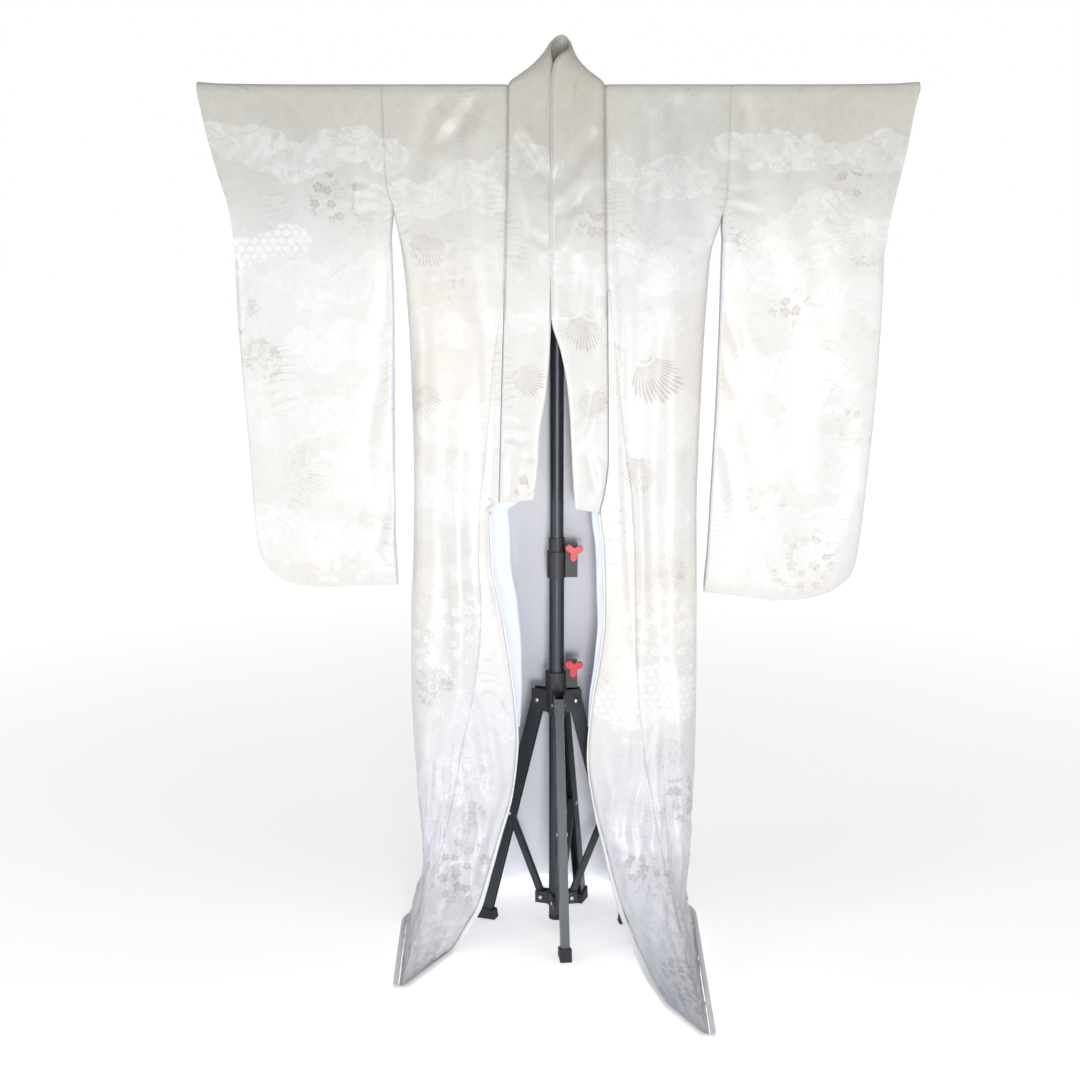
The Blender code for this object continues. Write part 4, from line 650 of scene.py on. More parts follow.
class Wiring:
    """Adds nodes to one tree. A value may be a number, a colour, a vector, a socket or a Wire."""

    def __init__(self, tree):
        self.tree = tree

    def node(self, kind, **settings):
        made = self.tree.nodes.new(kind)
        for name, value in settings.items():
            setattr(made, name, value)
        return made

    def feed(self, socket, value):
        value = value.socket if isinstance(value, Wire) else value
        if isinstance(value, bpy.types.NodeSocket):
            self.tree.links.new(value, socket)
        elif value is not None:
            socket.default_value = value

    def fed(self, made, values):
        """Feeds a node's inputs by name, or in their order, and returns the node."""
        pairs = values.items() if isinstance(values, dict) else enumerate(values)
        for key, value in pairs:
            self.feed(made.inputs[key], value)
        return made

    def math(self, operation, *values, clamp=False):
        made = self.fed(self.node("ShaderNodeMath", operation=operation, use_clamp=clamp), values)
        return Wire(self, made.outputs[0])

    def vector(self, operation, *values, scale=None):
        made = self.fed(self.node("ShaderNodeVectorMath", operation=operation), values)
        if scale is not None:
            self.feed(made.inputs["Scale"], scale)
        return Wire(self, made.outputs["Value" if operation in ("LENGTH", "DOT_PRODUCT") else "Vector"])

    def split(self, vector):
        made = self.fed(self.node("ShaderNodeSeparateXYZ"), (vector,))
        return [Wire(self, socket) for socket in made.outputs]

    def ramp(self, value, low, high, out_low=0.0, out_high=1.0):
        made = self.node("ShaderNodeMapRange", interpolation_type="SMOOTHSTEP", clamp=True)
        return Wire(self, self.fed(made, (value, low, high, out_low, out_high)).outputs[0])

    def mix(self, share, first, second, mode="MIX", kind="Color"):
        made = self.node("ShaderNodeMix", data_type="VECTOR" if kind == "Vector" else "RGBA", blend_type=mode,
                         clamp_factor=True)
        sockets = {socket.identifier: socket for socket in made.inputs}
        for name, value in (("Factor_Float", share), ("A_" + kind, first), ("B_" + kind, second)):
            self.feed(sockets[name], (*value, 1.0) if isinstance(value, tuple) and len(value) == 3 else value)
        return Wire(self, next(s for s in made.outputs if s.identifier == "Result_" + kind))

    def noise(self, vector, scale, detail=2.0, roughness=0.5, distortion=0.0):
        made = self.fed(self.node("ShaderNodeTexNoise"), {
            "Vector": vector, "Scale": scale, "Detail": detail, "Roughness": roughness, "Distortion": distortion})
        return Wire(self, made.outputs["Fac"])

    def bump(self, height, strength, distance):
        made = self.fed(self.node("ShaderNodeBump"), {"Strength": strength, "Distance": distance, "Height": height})
        return made.outputs["Normal"]

    def polar(self, x, y):
        """Distance from the origin and angle about it."""
        return self.math("SQRT", x * x + y * y), self.math("ARCTAN2", y, x)


def node_group(name, inputs, outputs):
    """A new shader node group with the given sockets: its tree, wiring, inputs and outputs by name."""
    tree = bpy.data.node_groups.new(name, "ShaderNodeTree")
    kinds = {"value": "NodeSocketFloat", "vector": "NodeSocketVector", "colour": "NodeSocketColor"}
    for direction, sockets in (("INPUT", inputs), ("OUTPUT", outputs)):
        for label, kind, *default in sockets:
            socket = tree.interface.new_socket(label, in_out=direction, socket_type=kinds[kind])
            if default:
                socket.default_value = default[0]
    wiring = Wiring(tree)
    entry = wiring.node("NodeGroupInput")
    leave = wiring.node("NodeGroupOutput")
    return tree, wiring, {socket.name: Wire(wiring, socket) for socket in entry.outputs}, leave.inputs


def place_group(wiring, tree, **values):
    """A group placed in a material, fed by the names of its inputs; gives its outputs by name."""
    made = wiring.fed(wiring.node("ShaderNodeGroup", node_tree=tree),
                      {name.capitalize(): value for name, value in values.items()})
    return {socket.name: Wire(wiring, socket) for socket in made.outputs}


def hexagon_cells():
    """Place in a honeycomb: the nearer of two rectangular lattices, one shifted by half a step. Puts out
    the distance from the cell's middle in shares of the pitch, and the angle about it."""
    tree, wiring, given, out = node_group("hexagon_cells", [("Place", "vector"), ("Pitch", "value", 0.011)],
                                          [("Distance", "value"), ("Angle", "value")])
    scaled = wiring.vector("SCALE", wiring.vector("ADD", given["Place"], (7.0, 7.0, 0.0)),
                           scale=1.0 / given["Pitch"])
    step, half, level = (1.0, 1.7320508, 1.0), (0.5, 0.8660254, 0.5), (1.0, 1.0, 0.0)
    flat = wiring.vector("MULTIPLY", scaled, level)
    first, second = (wiring.vector("MULTIPLY", wiring.vector(
        "SUBTRACT", wiring.vector("MODULO", place, step), half), level)
        for place in (flat, wiring.vector("ADD", flat, half)))
    near, far = wiring.vector("LENGTH", first), wiring.vector("LENGTH", second)
    x, y, _ = wiring.split(wiring.mix(wiring.math("LESS_THAN", far, near), first, second, kind="Vector"))
    wiring.feed(out["Distance"], wiring.math("MINIMUM", near, far))
    wiring.feed(out["Angle"], wiring.math("ARCTAN2", y, x))
    return tree


def petal_ring():
    """A flower of equal petals: a disc whose rim swells and dips with the angle, split by thin lines
    between the petals and opened by a ring round its middle."""
    tree, wiring, given, out = node_group(
        "petal_ring", [("Distance", "value"), ("Angle", "value"), ("Petals", "value", 5.0), ("Reach", "value", 0.4),
                       ("Dip", "value", 0.25), ("Turn", "value", 0.0)], [("Mask", "value")])
    turn = (given["Angle"] + given["Turn"]) * given["Petals"] / (2 * math.pi)
    across = abs(wiring.math("FRACT", turn + 40.0) - 0.5)
    rim = given["Reach"] * (1.0 - given["Dip"] * (across * 2.0) ** 2.5)
    share = given["Distance"] / rim
    body = wiring.ramp(share, 1.06, 0.92)
    line = wiring.ramp(across, 0.42, 0.47) * wiring.ramp(share, 0.25, 0.40)
    heart = wiring.ramp(abs(share - 0.22), 0.07, 0.03)
    mask = body * (1.0 - wiring.math("MAXIMUM", line, heart))
    wiring.feed(out["Mask"], wiring.math("MAXIMUM", mask, 0.0))
    return tree


def feather_fan():
    """A spread wing: seventeen slender feathers of uneven length fan out from its root, each with a pointed
    tip, a gap beside it and fine slanting barbs, under two shorter rows of coverts."""
    tree, wiring, given, out = node_group("feather_fan", [("Place", "vector")], [("Mask", "value")])
    x, y, _ = wiring.split(given["Place"])
    far, angle = wiring.polar(x + 0.55, y)
    slots = (angle + far * 0.22) * 9.5 + 7.0
    slot = wiring.math("FLOOR", slots)
    across = abs(wiring.math("FRACT", slots) - 0.5)
    spread = abs(slot * 0.13 - 1.15) ** 2.0
    uneven = wiring.math("FRACT", slot * 0.618) * 0.16
    reach = 1.50 - uneven - spread * 0.50
    tip = reach - (across * 2.0) ** 1.5 * 0.18
    body = wiring.ramp(tip - far, -0.01, 0.03) * wiring.ramp(far, 0.10, 0.22)
    inside = wiring.math("GREATER_THAN", slots, 0.0) * wiring.math("LESS_THAN", slots, 17.0)
    gap = 1.0 - wiring.ramp(across, 0.18, 0.40)
    barbs = wiring.math("SINE", far * 95.0 + across * 22.0)
    rows = wiring.ramp(abs(wiring.math("PINGPONG", far + across * 0.12, 0.30) - 0.28), 0.012, 0.035)
    near_root = wiring.ramp(far, 0.75, 0.70)
    tone = gap * (0.78 + barbs * 0.22) * (1.0 - near_root * (1.0 - rows))
    wiring.feed(out["Mask"], body * inside * tone)
    return tree


def blossoms(wiring, petal_ring_group, place, spray):
    """Scattered five-petalled blossoms with leaves between them: one in most cells of a Voronoi pattern,
    its reach and turn by chance, kept where the spray's tone is."""
    cells = wiring.fed(wiring.node("ShaderNodeTexVoronoi", voronoi_dimensions="2D", feature="F1"),
                       {"Vector": place, "Scale": 40.0, "Randomness": 0.75})
    apart = wiring.vector("SUBTRACT", wiring.vector("SCALE", place, scale=40.0),
                          wiring.vector("SCALE", cells.outputs["Position"], scale=40.0))
    x, y, _ = wiring.split(apart)
    chance, other, _ = wiring.split(cells.outputs["Color"])
    distance, angle = wiring.polar(x, y)
    flower = place_group(wiring, petal_ring_group, distance=distance, angle=angle, petals=5.0,
                         reach=0.30 + other * 0.16, dip=0.42, turn=other * 6.0)["Mask"]
    flower = flower * wiring.ramp(chance, 0.20, 0.24)
    leafy = wiring.ramp(wiring.noise(place, 85.0, 2.0, 0.6, 0.6), 0.56, 0.60)
    return wiring.math("MAXIMUM", flower, leafy * 0.55) * spray


def fills(wiring, hexagon_group, place, shares):
    """The clouds' fills by their shares: ringed lattice and fine scales in darker threads, and a
    honeycomb of dots in brighter ones."""
    rings, dots, scales = wiring.split(shares)
    small, large, fine = (place_group(wiring, hexagon_group, place=place, pitch=pitch)["Distance"]
                          for pitch in (0.0115, 0.0165, 0.0078))
    ringed = wiring.math("MAXIMUM", wiring.ramp(abs(small - 0.33), 0.10, 0.05), wiring.ramp(small, 0.12, 0.07))
    dotted = wiring.ramp(large, 0.36, 0.30)
    scaled = wiring.ramp(wiring.math("SINE", fine * 16.0), -0.1, 0.5)
    return ringed * rings * 0.55 + (scaled * scales * 0.45 - dotted * dots * 0.85)


def figured_silk(groups):
    """The figured satin: clouds, honeycombs, scales, wings, round flowers, sprays of blossom, foliage and
    floating stripes, woven tone on tone. Tints the ground, changes its gloss and stands a little proud."""
    tree, wiring, given, out = node_group(
        "figured_silk",
        [("Place", "vector"), ("Cloud", "vector"), ("Wing", "vector"), ("Wheel", "vector"), ("Fill", "vector"),
         ("Ground", "colour", (0.87, 0.86, 0.84, 1.0)), ("Shade", "colour", (0.80, 0.77, 0.76, 1.0)),
         ("Shine", "colour", (0.93, 0.94, 0.96, 1.0))],
        [("Colour", "colour"), ("Roughness", "value"), ("Height", "value")])
    place, ground = given["Place"], given["Ground"]
    distance, spray, stripes = wiring.split(given["Cloud"])
    distance = distance + (wiring.noise(place, 26.0, 3.0) - 0.5) * 0.030
    outline = wiring.ramp(abs(distance), 0.0022, 0.0009)
    inside = wiring.ramp(distance, 0.0012, -0.0012)

    _, _, wing_tone = wiring.split(given["Wing"])
    wing = place_group(wiring, groups["feather_fan"], place=given["Wing"])["Mask"] * wing_tone
    x, y, wheel_tone = wiring.split(given["Wheel"])
    wheel_far, wheel_angle = wiring.polar(x, y)
    wheel = place_group(wiring, groups["petal_ring"], distance=wheel_far, angle=wheel_angle,
                        petals=16.0, reach=0.95, dip=0.16, turn=0.0)["Mask"] * (wheel_tone * 0.6)

    _, v, _ = wiring.split(place)
    flow = wiring.math("SINE", (v + (wiring.noise(place, 7.0, 1.0) - 0.5) * 0.16) * 480.0)
    stream = wiring.ramp(flow, 0.55, 0.85) * stripes

    clear = 1.0 - wiring.math("MINIMUM", abs(wing) + abs(wheel), 1.0)
    sky = outline * 0.10 + inside * -0.42
    drawn = sky + fills(wiring, groups["hexagon_cells"], place, given["Fill"]) + (
        stream * 0.35 + blossoms(wiring, groups["petal_ring"], place, spray))
    foliage = (wiring.ramp(wiring.noise(place, 52.0, 4.0, 0.62, 0.8), 0.54, 0.57)
               - wiring.ramp(wiring.noise(place, 23.0, 4.0, 0.66, 1.2), 0.52, 0.55))
    drawn = drawn * clear + (wing + wheel) + foliage * 0.22

    threads = wiring.noise(wiring.vector("MULTIPLY", place, (1.0, 0.035, 1.0)), 900.0, 2.0, 0.7)
    slubs = wiring.noise(wiring.vector("MULTIPLY", place, (1.0, 0.12, 1.0)), 45.0, 3.0, 0.6)
    grain = (threads - 0.5) * 0.5 + (slubs - 0.5) * 0.5
    dark = wiring.math("ADD", wiring.ramp(drawn, 0.0, 1.0), grain * 0.25, clamp=True)
    light = wiring.ramp(drawn, 0.0, -1.0)
    shaded = wiring.mix(dark * 0.9, ground, wiring.mix(1.0, ground, given["Shade"], "MULTIPLY"))
    wiring.feed(out["Colour"], wiring.mix(light * 0.9, shaded, wiring.mix(1.0, ground, given["Shine"], "SCREEN")))
    wiring.feed(out["Roughness"], 0.38 - light * 0.06 + dark * 0.10)
    wiring.feed(out["Height"], light * 0.6 + dark * -0.35 + grain * 0.5)
    return tree


def plain_silk_weave():
    """Plain woven silk: crossing threads and slow slubs, as a share of tint and a height."""
    tree, wiring, given, out = node_group("plain_silk_weave", [("Place", "vector"), ("Threads", "value", 700.0)],
                                          [("Tint", "value"), ("Height", "value")])
    warp, weft = (wiring.noise(wiring.vector("MULTIPLY", given["Place"], stretch), given["Threads"], 1.0)
                  for stretch in ((1.0, 0.05, 0.05), (0.05, 1.0, 1.0)))
    both = (warp + weft) * 0.5
    wiring.feed(out["Height"], both)
    wiring.feed(out["Tint"], both * 0.4 + wiring.noise(given["Place"], 14.0, 3.0, 0.6) * 0.6)
    return tree


def worn_coating():
    """Grain of a coated or moulded surface: fine orange-peel bumps, slow smudges, and rubbed spots that
    show towards sharp edges, found from the difference between two normals."""
    tree, wiring, given, out = node_group("worn_coating", [("Place", "vector"), ("Grain", "value", 900.0)],
                                          [("Smudge", "value"), ("Rub", "value"), ("Height", "value")])
    wiring.feed(out["Height"], wiring.noise(given["Place"], given["Grain"], 2.0, 0.6))
    wiring.feed(out["Smudge"], wiring.noise(given["Place"], 22.0, 4.0, 0.65, 0.4))
    rounded = wiring.fed(wiring.node("ShaderNodeBevel", samples=4), {"Radius": 0.0012})
    true_face = wiring.node("ShaderNodeNewGeometry")
    edge = 1.0 - wiring.vector("DOT_PRODUCT", rounded.outputs[0], true_face.outputs["Normal"])
    spots = wiring.ramp(wiring.noise(given["Place"], 160.0, 3.0, 0.7), 0.46, 0.60)
    wiring.feed(out["Rub"], wiring.ramp(edge, 0.02, 0.14) * spots)
    return tree


# ---------------- finishes
def new_material(name):
    """A material with a Principled shader, and its wiring."""
    made = bpy.data.materials.new(name)
    made.use_nodes = True
    return made, Wiring(made.node_tree), made.node_tree.nodes["Principled BSDF"]


def silk_material(name, groups, sizes):
    """Figured satin on the cloth's own place, with a soft sheen."""
    made, wiring, shader = new_material(name)
    place = wiring.node("ShaderNodeUVMap", uv_map="cloth").outputs[0]
    fields = {field: wiring.node("ShaderNodeAttribute", attribute_name=field).outputs["Vector"]
              for field in ("cloud", "wing", "wheel", "fill")}
    ground = wiring.node("ShaderNodeAttribute", attribute_name="ground").outputs["Color"]
    woven = place_group(wiring, groups["figured_silk"], place=place, ground=ground,
                        shade=(*sizes.shade_colour, 1.0), shine=(*sizes.shine_colour, 1.0), **fields)
    wiring.fed(shader, {"Base Color": woven["Colour"], "Roughness": woven["Roughness"],
                        "Normal": wiring.bump(woven["Height"], 0.35, 0.0004), "Specular IOR Level": 0.62,
                        "Sheen Weight": 0.12, "Sheen Roughness": 0.35})
    return made


def lining_material(name, groups, colour, roughness=0.52):
    """Plain lining silk: thin crossing threads, slow slubs."""
    made, wiring, shader = new_material(name)
    place = wiring.node("ShaderNodeUVMap", uv_map="cloth").outputs[0]
    weave = place_group(wiring, groups["plain_silk_weave"], place=place)
    paler, darker = tuple(min(1.0, c * 1.05) for c in colour), tuple(c * 0.93 for c in colour)
    wiring.fed(shader, {"Base Color": wiring.mix(weave["Tint"], darker, paler), "Roughness": roughness,
                        "Normal": wiring.bump(weave["Height"], 0.25, 0.0003), "Sheen Weight": 0.15})
    return made


def coated_material(name, groups, colour, roughness, metallic, grain, bare, bare_metallic=0.0):
    """Powder coat, moulded plastic, rubber or bare metal, smudged, and rubbed towards its edges."""
    made, wiring, shader = new_material(name)
    place = wiring.node("ShaderNodeTexCoord").outputs["Object"]
    worn = place_group(wiring, groups["worn_coating"], place=place, grain=grain)
    smeared = tuple(min(1.0, c * 1.5 + 0.01) for c in colour)
    smudged = wiring.mix(worn["Smudge"] * 0.5, tuple(colour), smeared)
    wiring.fed(shader, {"Base Color": wiring.mix(worn["Rub"] * 0.7, smudged, bare),
                        "Roughness": worn["Smudge"] * 0.14 + (roughness - 0.06),
                        "Normal": wiring.bump(worn["Height"], 0.22, 0.0002)})
    if bare_metallic or metallic:
        wiring.feed(shader.inputs["Metallic"], worn["Rub"] * (bare_metallic - metallic) + metallic)
    return made


# ---------------- meshes
def new_object(name, data):
    """An object in the scene, at the origin."""
    made = bpy.data.objects.new(name, data)
    bpy.context.scene.collection.objects.link(made)
    return made


def new_mesh(name, points, faces, place=None):
    """A smooth mesh from points about the mast's axis and, if given, a UV map "cloth" in metres."""
    mesh = bpy.data.meshes.new(name)
    mesh.from_pydata((points + SHIFT).tolist(), [], faces)
    mesh.update()
    if place is not None:
        layer = mesh.uv_layers.new(name="cloth")
        corners = np.zeros(len(mesh.loops), np.int32)
        mesh.loops.foreach_get("vertex_index", corners)
        layer.data.foreach_set("uv", place[corners].astype(np.float32).ravel())
    mesh.polygons.foreach_set("use_smooth", np.ones(len(mesh.polygons), bool))
    return mesh


def quads_of(rows, columns, flip):
    """Faces of a grid of rows and columns, wound so that they face outwards."""
    i, j = np.meshgrid(np.arange(rows - 1), np.arange(columns - 1), indexing="ij")
    at = (i * columns + j).ravel()
    faces = np.stack([at, at + columns, at + columns + 1, at + 1], axis=1)
    return faces[:, ::-1] if flip else faces


def ring_angles(sides):
    """Angles of a ring's points."""
    return np.linspace(0.0, 2 * np.pi, sides + 1)[:-1]


def ring_faces(rings, sides, start=0):
    """Faces of a tube of rings of points, with a flat face at both ends."""
    i, j = np.meshgrid(np.arange(rings - 1), np.arange(sides), indexing="ij")
    after = (j + 1) % sides
    walls = np.stack([i * sides + j, i * sides + after, (i + 1) * sides + after, (i + 1) * sides + j], axis=-1)
    return (walls.reshape(-1, 4) + start).tolist() + [
        [start + k for k in range(sides)][::-1], [start + (rings - 1) * sides + k for k in range(sides)]]


def write_fields(mesh, fields, ground):
    """Puts the weave's fields and the ground's tint on the points of a mesh."""
    for name, values in fields.items():
        attribute = mesh.attributes.new(name, "FLOAT_VECTOR", "POINT")
        attribute.data.foreach_set("vector", np.ascontiguousarray(values, np.float32).ravel())
    colour = mesh.attributes.new("ground", "FLOAT_COLOR", "POINT")
    colour.data.foreach_set("color", np.concatenate(
        [ground, np.ones((len(ground), 1))], axis=1).astype(np.float32).ravel())


def ground_tint(across, down, sizes):
    """Ground colour of the figured silk: ivory at the shoulders and darker there in painted shade, whiter down the
    panels and faintly lilac over the train, with slow cool patches and slow warm, darker patches that are painted
    reflection of the room in the satin."""
    top, middle, low = (np.array(c)[None, :] for c in (sizes.top_colour, sizes.middle_colour, sizes.low_colour))
    depth, side = np.abs(down)[:, None], across[:, None]
    # Painted shade: the ground is darker at the shoulders than down the panels, standing in for less light reaching
    # the top of the robe.
    tint = top + (middle - top) * ease(depth, 0.05, 0.42)
    tint = tint + (low - tint) * ease(depth, 1.00, 1.45)
    # Painted reflection: warm, slightly darker patches and a band across the body about 0.93 m down stand in for the
    # room mirrored in the satin.
    warm_painted_reflection = (ease(np.sin(side * 13.0 + 1.2) * np.cos(depth * 5.3 + 0.6), 0.15, 0.9)
            + 0.9 * ease(1.0 - np.abs(depth - 0.93) / 0.16, 0.0, 1.0) * ease(0.30 - np.abs(side), 0.0, 0.02))
    cool = ease(np.sin(side * 9.0 - 0.4) * np.cos(depth * 4.1 - 1.1), 0.25, 0.95)
    return tint * (1.0 + warm_painted_reflection * np.array([[-0.012, -0.040, -0.075]]) + cool * np.array([[-0.035, -0.018, 0.012]]))


def finished_sheet(name, mesh, materials, thickness=SHEET):
    """An object whose thin wall goes inwards from its outer face: face, lining and edge finishes."""
    piece = new_object(name, mesh)
    for finish in materials:
        mesh.materials.append(finish)
    wall = piece.modifiers.new("wall", "SOLIDIFY")
    wall.thickness = thickness
    wall.offset = -1.0
    wall.use_even_offset = False
    wall.material_offset = 1 if len(materials) > 1 else 0
    wall.material_offset_rim = 2 if len(materials) > 2 else 0
    return piece


def declare(piece, nodes, points, faces):
    """Hangs a piece on the frame in place of its solids, and returns its area: the sum of half the
    cross products of its faces' diagonals."""
    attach(piece, "frame")
    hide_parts(*nodes)
    a, b, c, d = (points[faces[:, k]] for k in range(4))
    return float(np.linalg.norm(np.cross(c - a, d - b), axis=1).sum() / 2)


def tube_mesh(name, path, radii, sides, finish):
    """A closed tube: a circle of the given radius carried along a path on steady frames, and closed at
    both ends by a last ring drawn in to a point."""
    tangent = np.gradient(path, axis=0)
    tangent /= np.linalg.norm(tangent, axis=1, keepdims=True)
    side = np.cross(tangent[0], (0.0, 0.0, 1.0) if abs(tangent[0][2]) < 0.9 else (1.0, 0.0, 0.0))
    frames = []
    for t in tangent:
        side = side - t * np.dot(side, t)
        side /= np.linalg.norm(side)
        frames.append(side)
    first = np.array(frames)
    second = np.cross(tangent, first)
    angles = ring_angles(sides)
    path, first, second = (np.concatenate([v[:1], v, v[-1:]]) for v in (path, first, second))
    radii = np.concatenate([[radii[0] * 0.02], radii, [radii[-1] * 0.02]])
    ring = first[:, None] * np.cos(angles)[None, :, None] + second[:, None] * np.sin(angles)[None, :, None]
    points = path[:, None] + ring * radii[:, None, None]
    place = np.stack(np.broadcast_arrays((angles * ROLL_RADIUS)[None, :], distance_along(path)[:, None]), axis=-1)
    mesh = new_mesh(name, points.reshape(-1, 3), ring_faces(len(path), sides), place.reshape(-1, 2))
    mesh.materials.append(finish)
    return mesh


# ---------------- relief of each panel
MOST_RELIEF, TRAIN_RELIEF = 0.0054, 0.0026      # of a body panel, and what the train adds to it
MOST_SLEEVE, MOST_COLLAR = 0.0048, 0.0075
SEWN_REACH, SEWN_DROP = 0.0010, 0.0003          # how far a sewn edge runs past its seam, and inwards
TIGHT = 0.0003                      # depth of the narrow dip at a seam


def seam_dip(distance, run):
    """Cloth drawn in at a seam: a narrow dip with small puckers along it."""
    pucker = 0.6 + 0.4 * np.sin(2 * np.pi * run / 0.0125 + 1.5 * np.sin(run * 37.0))
    return -TIGHT * np.exp(-(distance / 0.0030) ** 2) - 0.0004 * pucker * np.exp(-(distance / 0.0075) ** 2)


def sewn_edge(points, normals, at, beside, reach=SEWN_REACH, drop=SEWN_DROP, share=1.0):
    """Carries one edge column of a panel past its seam and a little inwards, so that the sewn panels meet
    in a soft valley with no gap between them."""
    past = points[:, at] - points[:, beside]
    past /= np.linalg.norm(past, axis=1, keepdims=True)
    points[:, at] += (past * reach - normals[:, at] * drop) * share


def held_back(relief, most):
    """The relief, bent softly so that it never passes the given depth or height."""
    return most * np.tanh(relief / most)


def fade_towards(*edges):
    """1 over a panel and 0 at its edges, each given as the distance to it and the width of the fade."""
    return math.prod(ease(distance, 0.0, width) for distance, width in edges)


def body_relief(creases, across, down, seeds, heights):
    """Height of a front or back above its plain form: its creases, a slow swell, and a crumple over the
    train from two closer swells."""
    swell, middle, fine = (billow(wide * across, long * down, seed, height) for (wide, long), seed, height in
                           zip(((1.0, 1.0), (3.0, 3.0), (7.0, 4.0)), seeds, heights))
    return crease_field(creases, across, down) + swell * ease(down, 0.03, 0.25) + (middle + fine) * ease(down, *TRAIN)


def front_relief(side, across, down):
    return body_relief(FRONT_CREASES[side], across, down, (11 if side == "left" else 12, 15, 16),
                       (0.0038, 0.0084, 0.0054))


def back_relief(side, across, down):
    return body_relief(BACK_CREASES[side], across, down, (21 if side == "left" else 22, 25, 26),
                       (0.0040, 0.0056, 0.0028))


def sleeve_relief(side, across, down, layer):
    """Height of a sleeve's layer above its plain form; the back layer's creases lie elsewhere."""
    creases = SLEEVE_CREASES[side]
    if layer == "back":
        creases = [line._replace(d0=line.d0 + 0.11, d1=line.d1 + 0.07, bow=-line.bow) for line in creases[3:]]
    seed = {"left": 31, "right": 33}[side] + (layer == "back")
    return crease_field(creases, across, down) + billow(across, down, seed, 0.0036) * ease(down, 0.02, 0.20)


def train_limit(length):
    """Most relief of a body panel, larger over the train."""
    return MOST_RELIEF + TRAIN_RELIEF * ease(length, *TRAIN)


# ---------------- the robe's pieces
def silk_piece(name, nodes, points, across, down, faces, looks, sizes, thickness=SHEET,
               inside="lining"):
    """A dressed panel of figured silk in place of its solids, with its inner finish, and its area. Where
    down is above 0, at the back, the weave lies shifted."""
    flat, u, v = points.reshape(-1, 3), np.ravel(across), np.ravel(down)
    mesh = new_mesh(name, flat, faces.tolist(), np.stack([u, v], axis=1))
    write_fields(mesh, weave_fields(np.where(v > 0, u * 0.94 + 0.05, u), np.where(v > 0, v + 0.09, -v)),
                 ground_tint(u, v, sizes))
    piece = finished_sheet(name, mesh, [looks["silk"], looks[inside], looks["silk"]], thickness)
    return piece, declare(piece, nodes, flat, faces)


def lining_piece(name, node, points, across, length, flip, finish):
    """A dressed piece of lining in place of its solid, and its area."""
    flat, faces = points.reshape(-1, 3), quads_of(*points.shape[:2], flip)
    mesh = new_mesh(name, flat, faces.tolist(), np.stack([across.ravel(), length.ravel()], axis=1))
    piece = finished_sheet(name, mesh, [finish], LINING_SHEET)
    return piece, declare(piece, [node], flat, faces)


def state_flat(run, length, rests_on, slack=1.0):
    """A sheet's flat size, its widest row by its length with some slack where it waves, worked out but neither
    returned nor kept.
    """
    width, tall = float(run[:, -1].max()), float(length.max() - length.min()) * slack


def make_body(side, looks, sizes):
    """A body strip: its inner face moved out by the wall and by creases that die away at its edges."""
    inner, across, down = body_strip(side, sizes.spacing, BODY_COLUMNS)
    normals = outward_normals(inner, side == "right")
    front = down <= 0.0
    length = np.abs(down)
    to_inner = run_along(inner, 1)
    to_side = to_inner[:, -1:] - to_inner
    hem = np.where(front, length[:1, :1] - length, length[-1:, :1] - length)
    high = inner[:, :1, 2] > OVERLAP_TOP
    fade = fade_towards((to_side, 0.020), (hem, 0.030), (length, 0.05))
    fade = fade * np.where(front & ~high, 1.0, ease(to_inner, 0.0, 0.020))
    relief = np.where(front, front_relief(side, across, length), back_relief(side, across, length))
    relief = held_back(relief, train_limit(length)) * fade
    for distance, run in ((to_side, length), (to_inner, length + 0.4)):
        relief += seam_dip(distance, run) * ease(length, 0.03, 0.06)
    points = inner + normals * (WALL + relief)[..., None]
    under = (front & high)[:, :1] * 1.0             # the strip that runs under the collar band
    sewn_edge(points, normals, 0, 1, SEWN_REACH + 0.0028 * under, SEWN_DROP + 0.0010 * under)
    sewn_edge(points, normals, -1, -2)
    piece, area = silk_piece("robe_body_" + side, ["body_front_" + side, "body_back_" + side], points, across,
                             down, quads_of(*across.shape, side == "right"), looks, sizes)


def make_overlap(side, looks, sizes):
    """An overlap panel: straight across, so its unrolled distance counts back from the overlap seam."""
    sign = SIGN[side]
    levels = even_levels(overlap_surface, side, 0.8, OVERLAP_TOP, 0.0, OVERLAP_STEP)
    inner = overlap_surface(side, levels, np.linspace(0.0, 1.0, OVERLAP_COLUMNS))
    run = run_along(inner, 1)
    to_seam = run[:, -1:] - run
    across = sign * (inner[:, -1:, 0] * sign - to_seam)
    length = np.broadcast_to(seam_drop(side, levels)[:, None], across.shape)
    fade = fade_towards((run, 0.012), (length[-1:, :1] - length, 0.030))
    relief = held_back(front_relief(side, across, length), train_limit(length)) * fade
    relief += seam_dip(to_seam, length + 0.4)
    normals = outward_normals(inner, side == "left")
    points = inner + normals * (WALL + relief)[..., None]
    sewn_edge(points, normals, -1, -2)
    piece, area = silk_piece("robe_overlap_" + side, ["overlap_" + side], points, across, -length,
                             quads_of(*across.shape, side == "left"), looks, sizes)
    state_flat(run, length, ["robe_body_" + side])


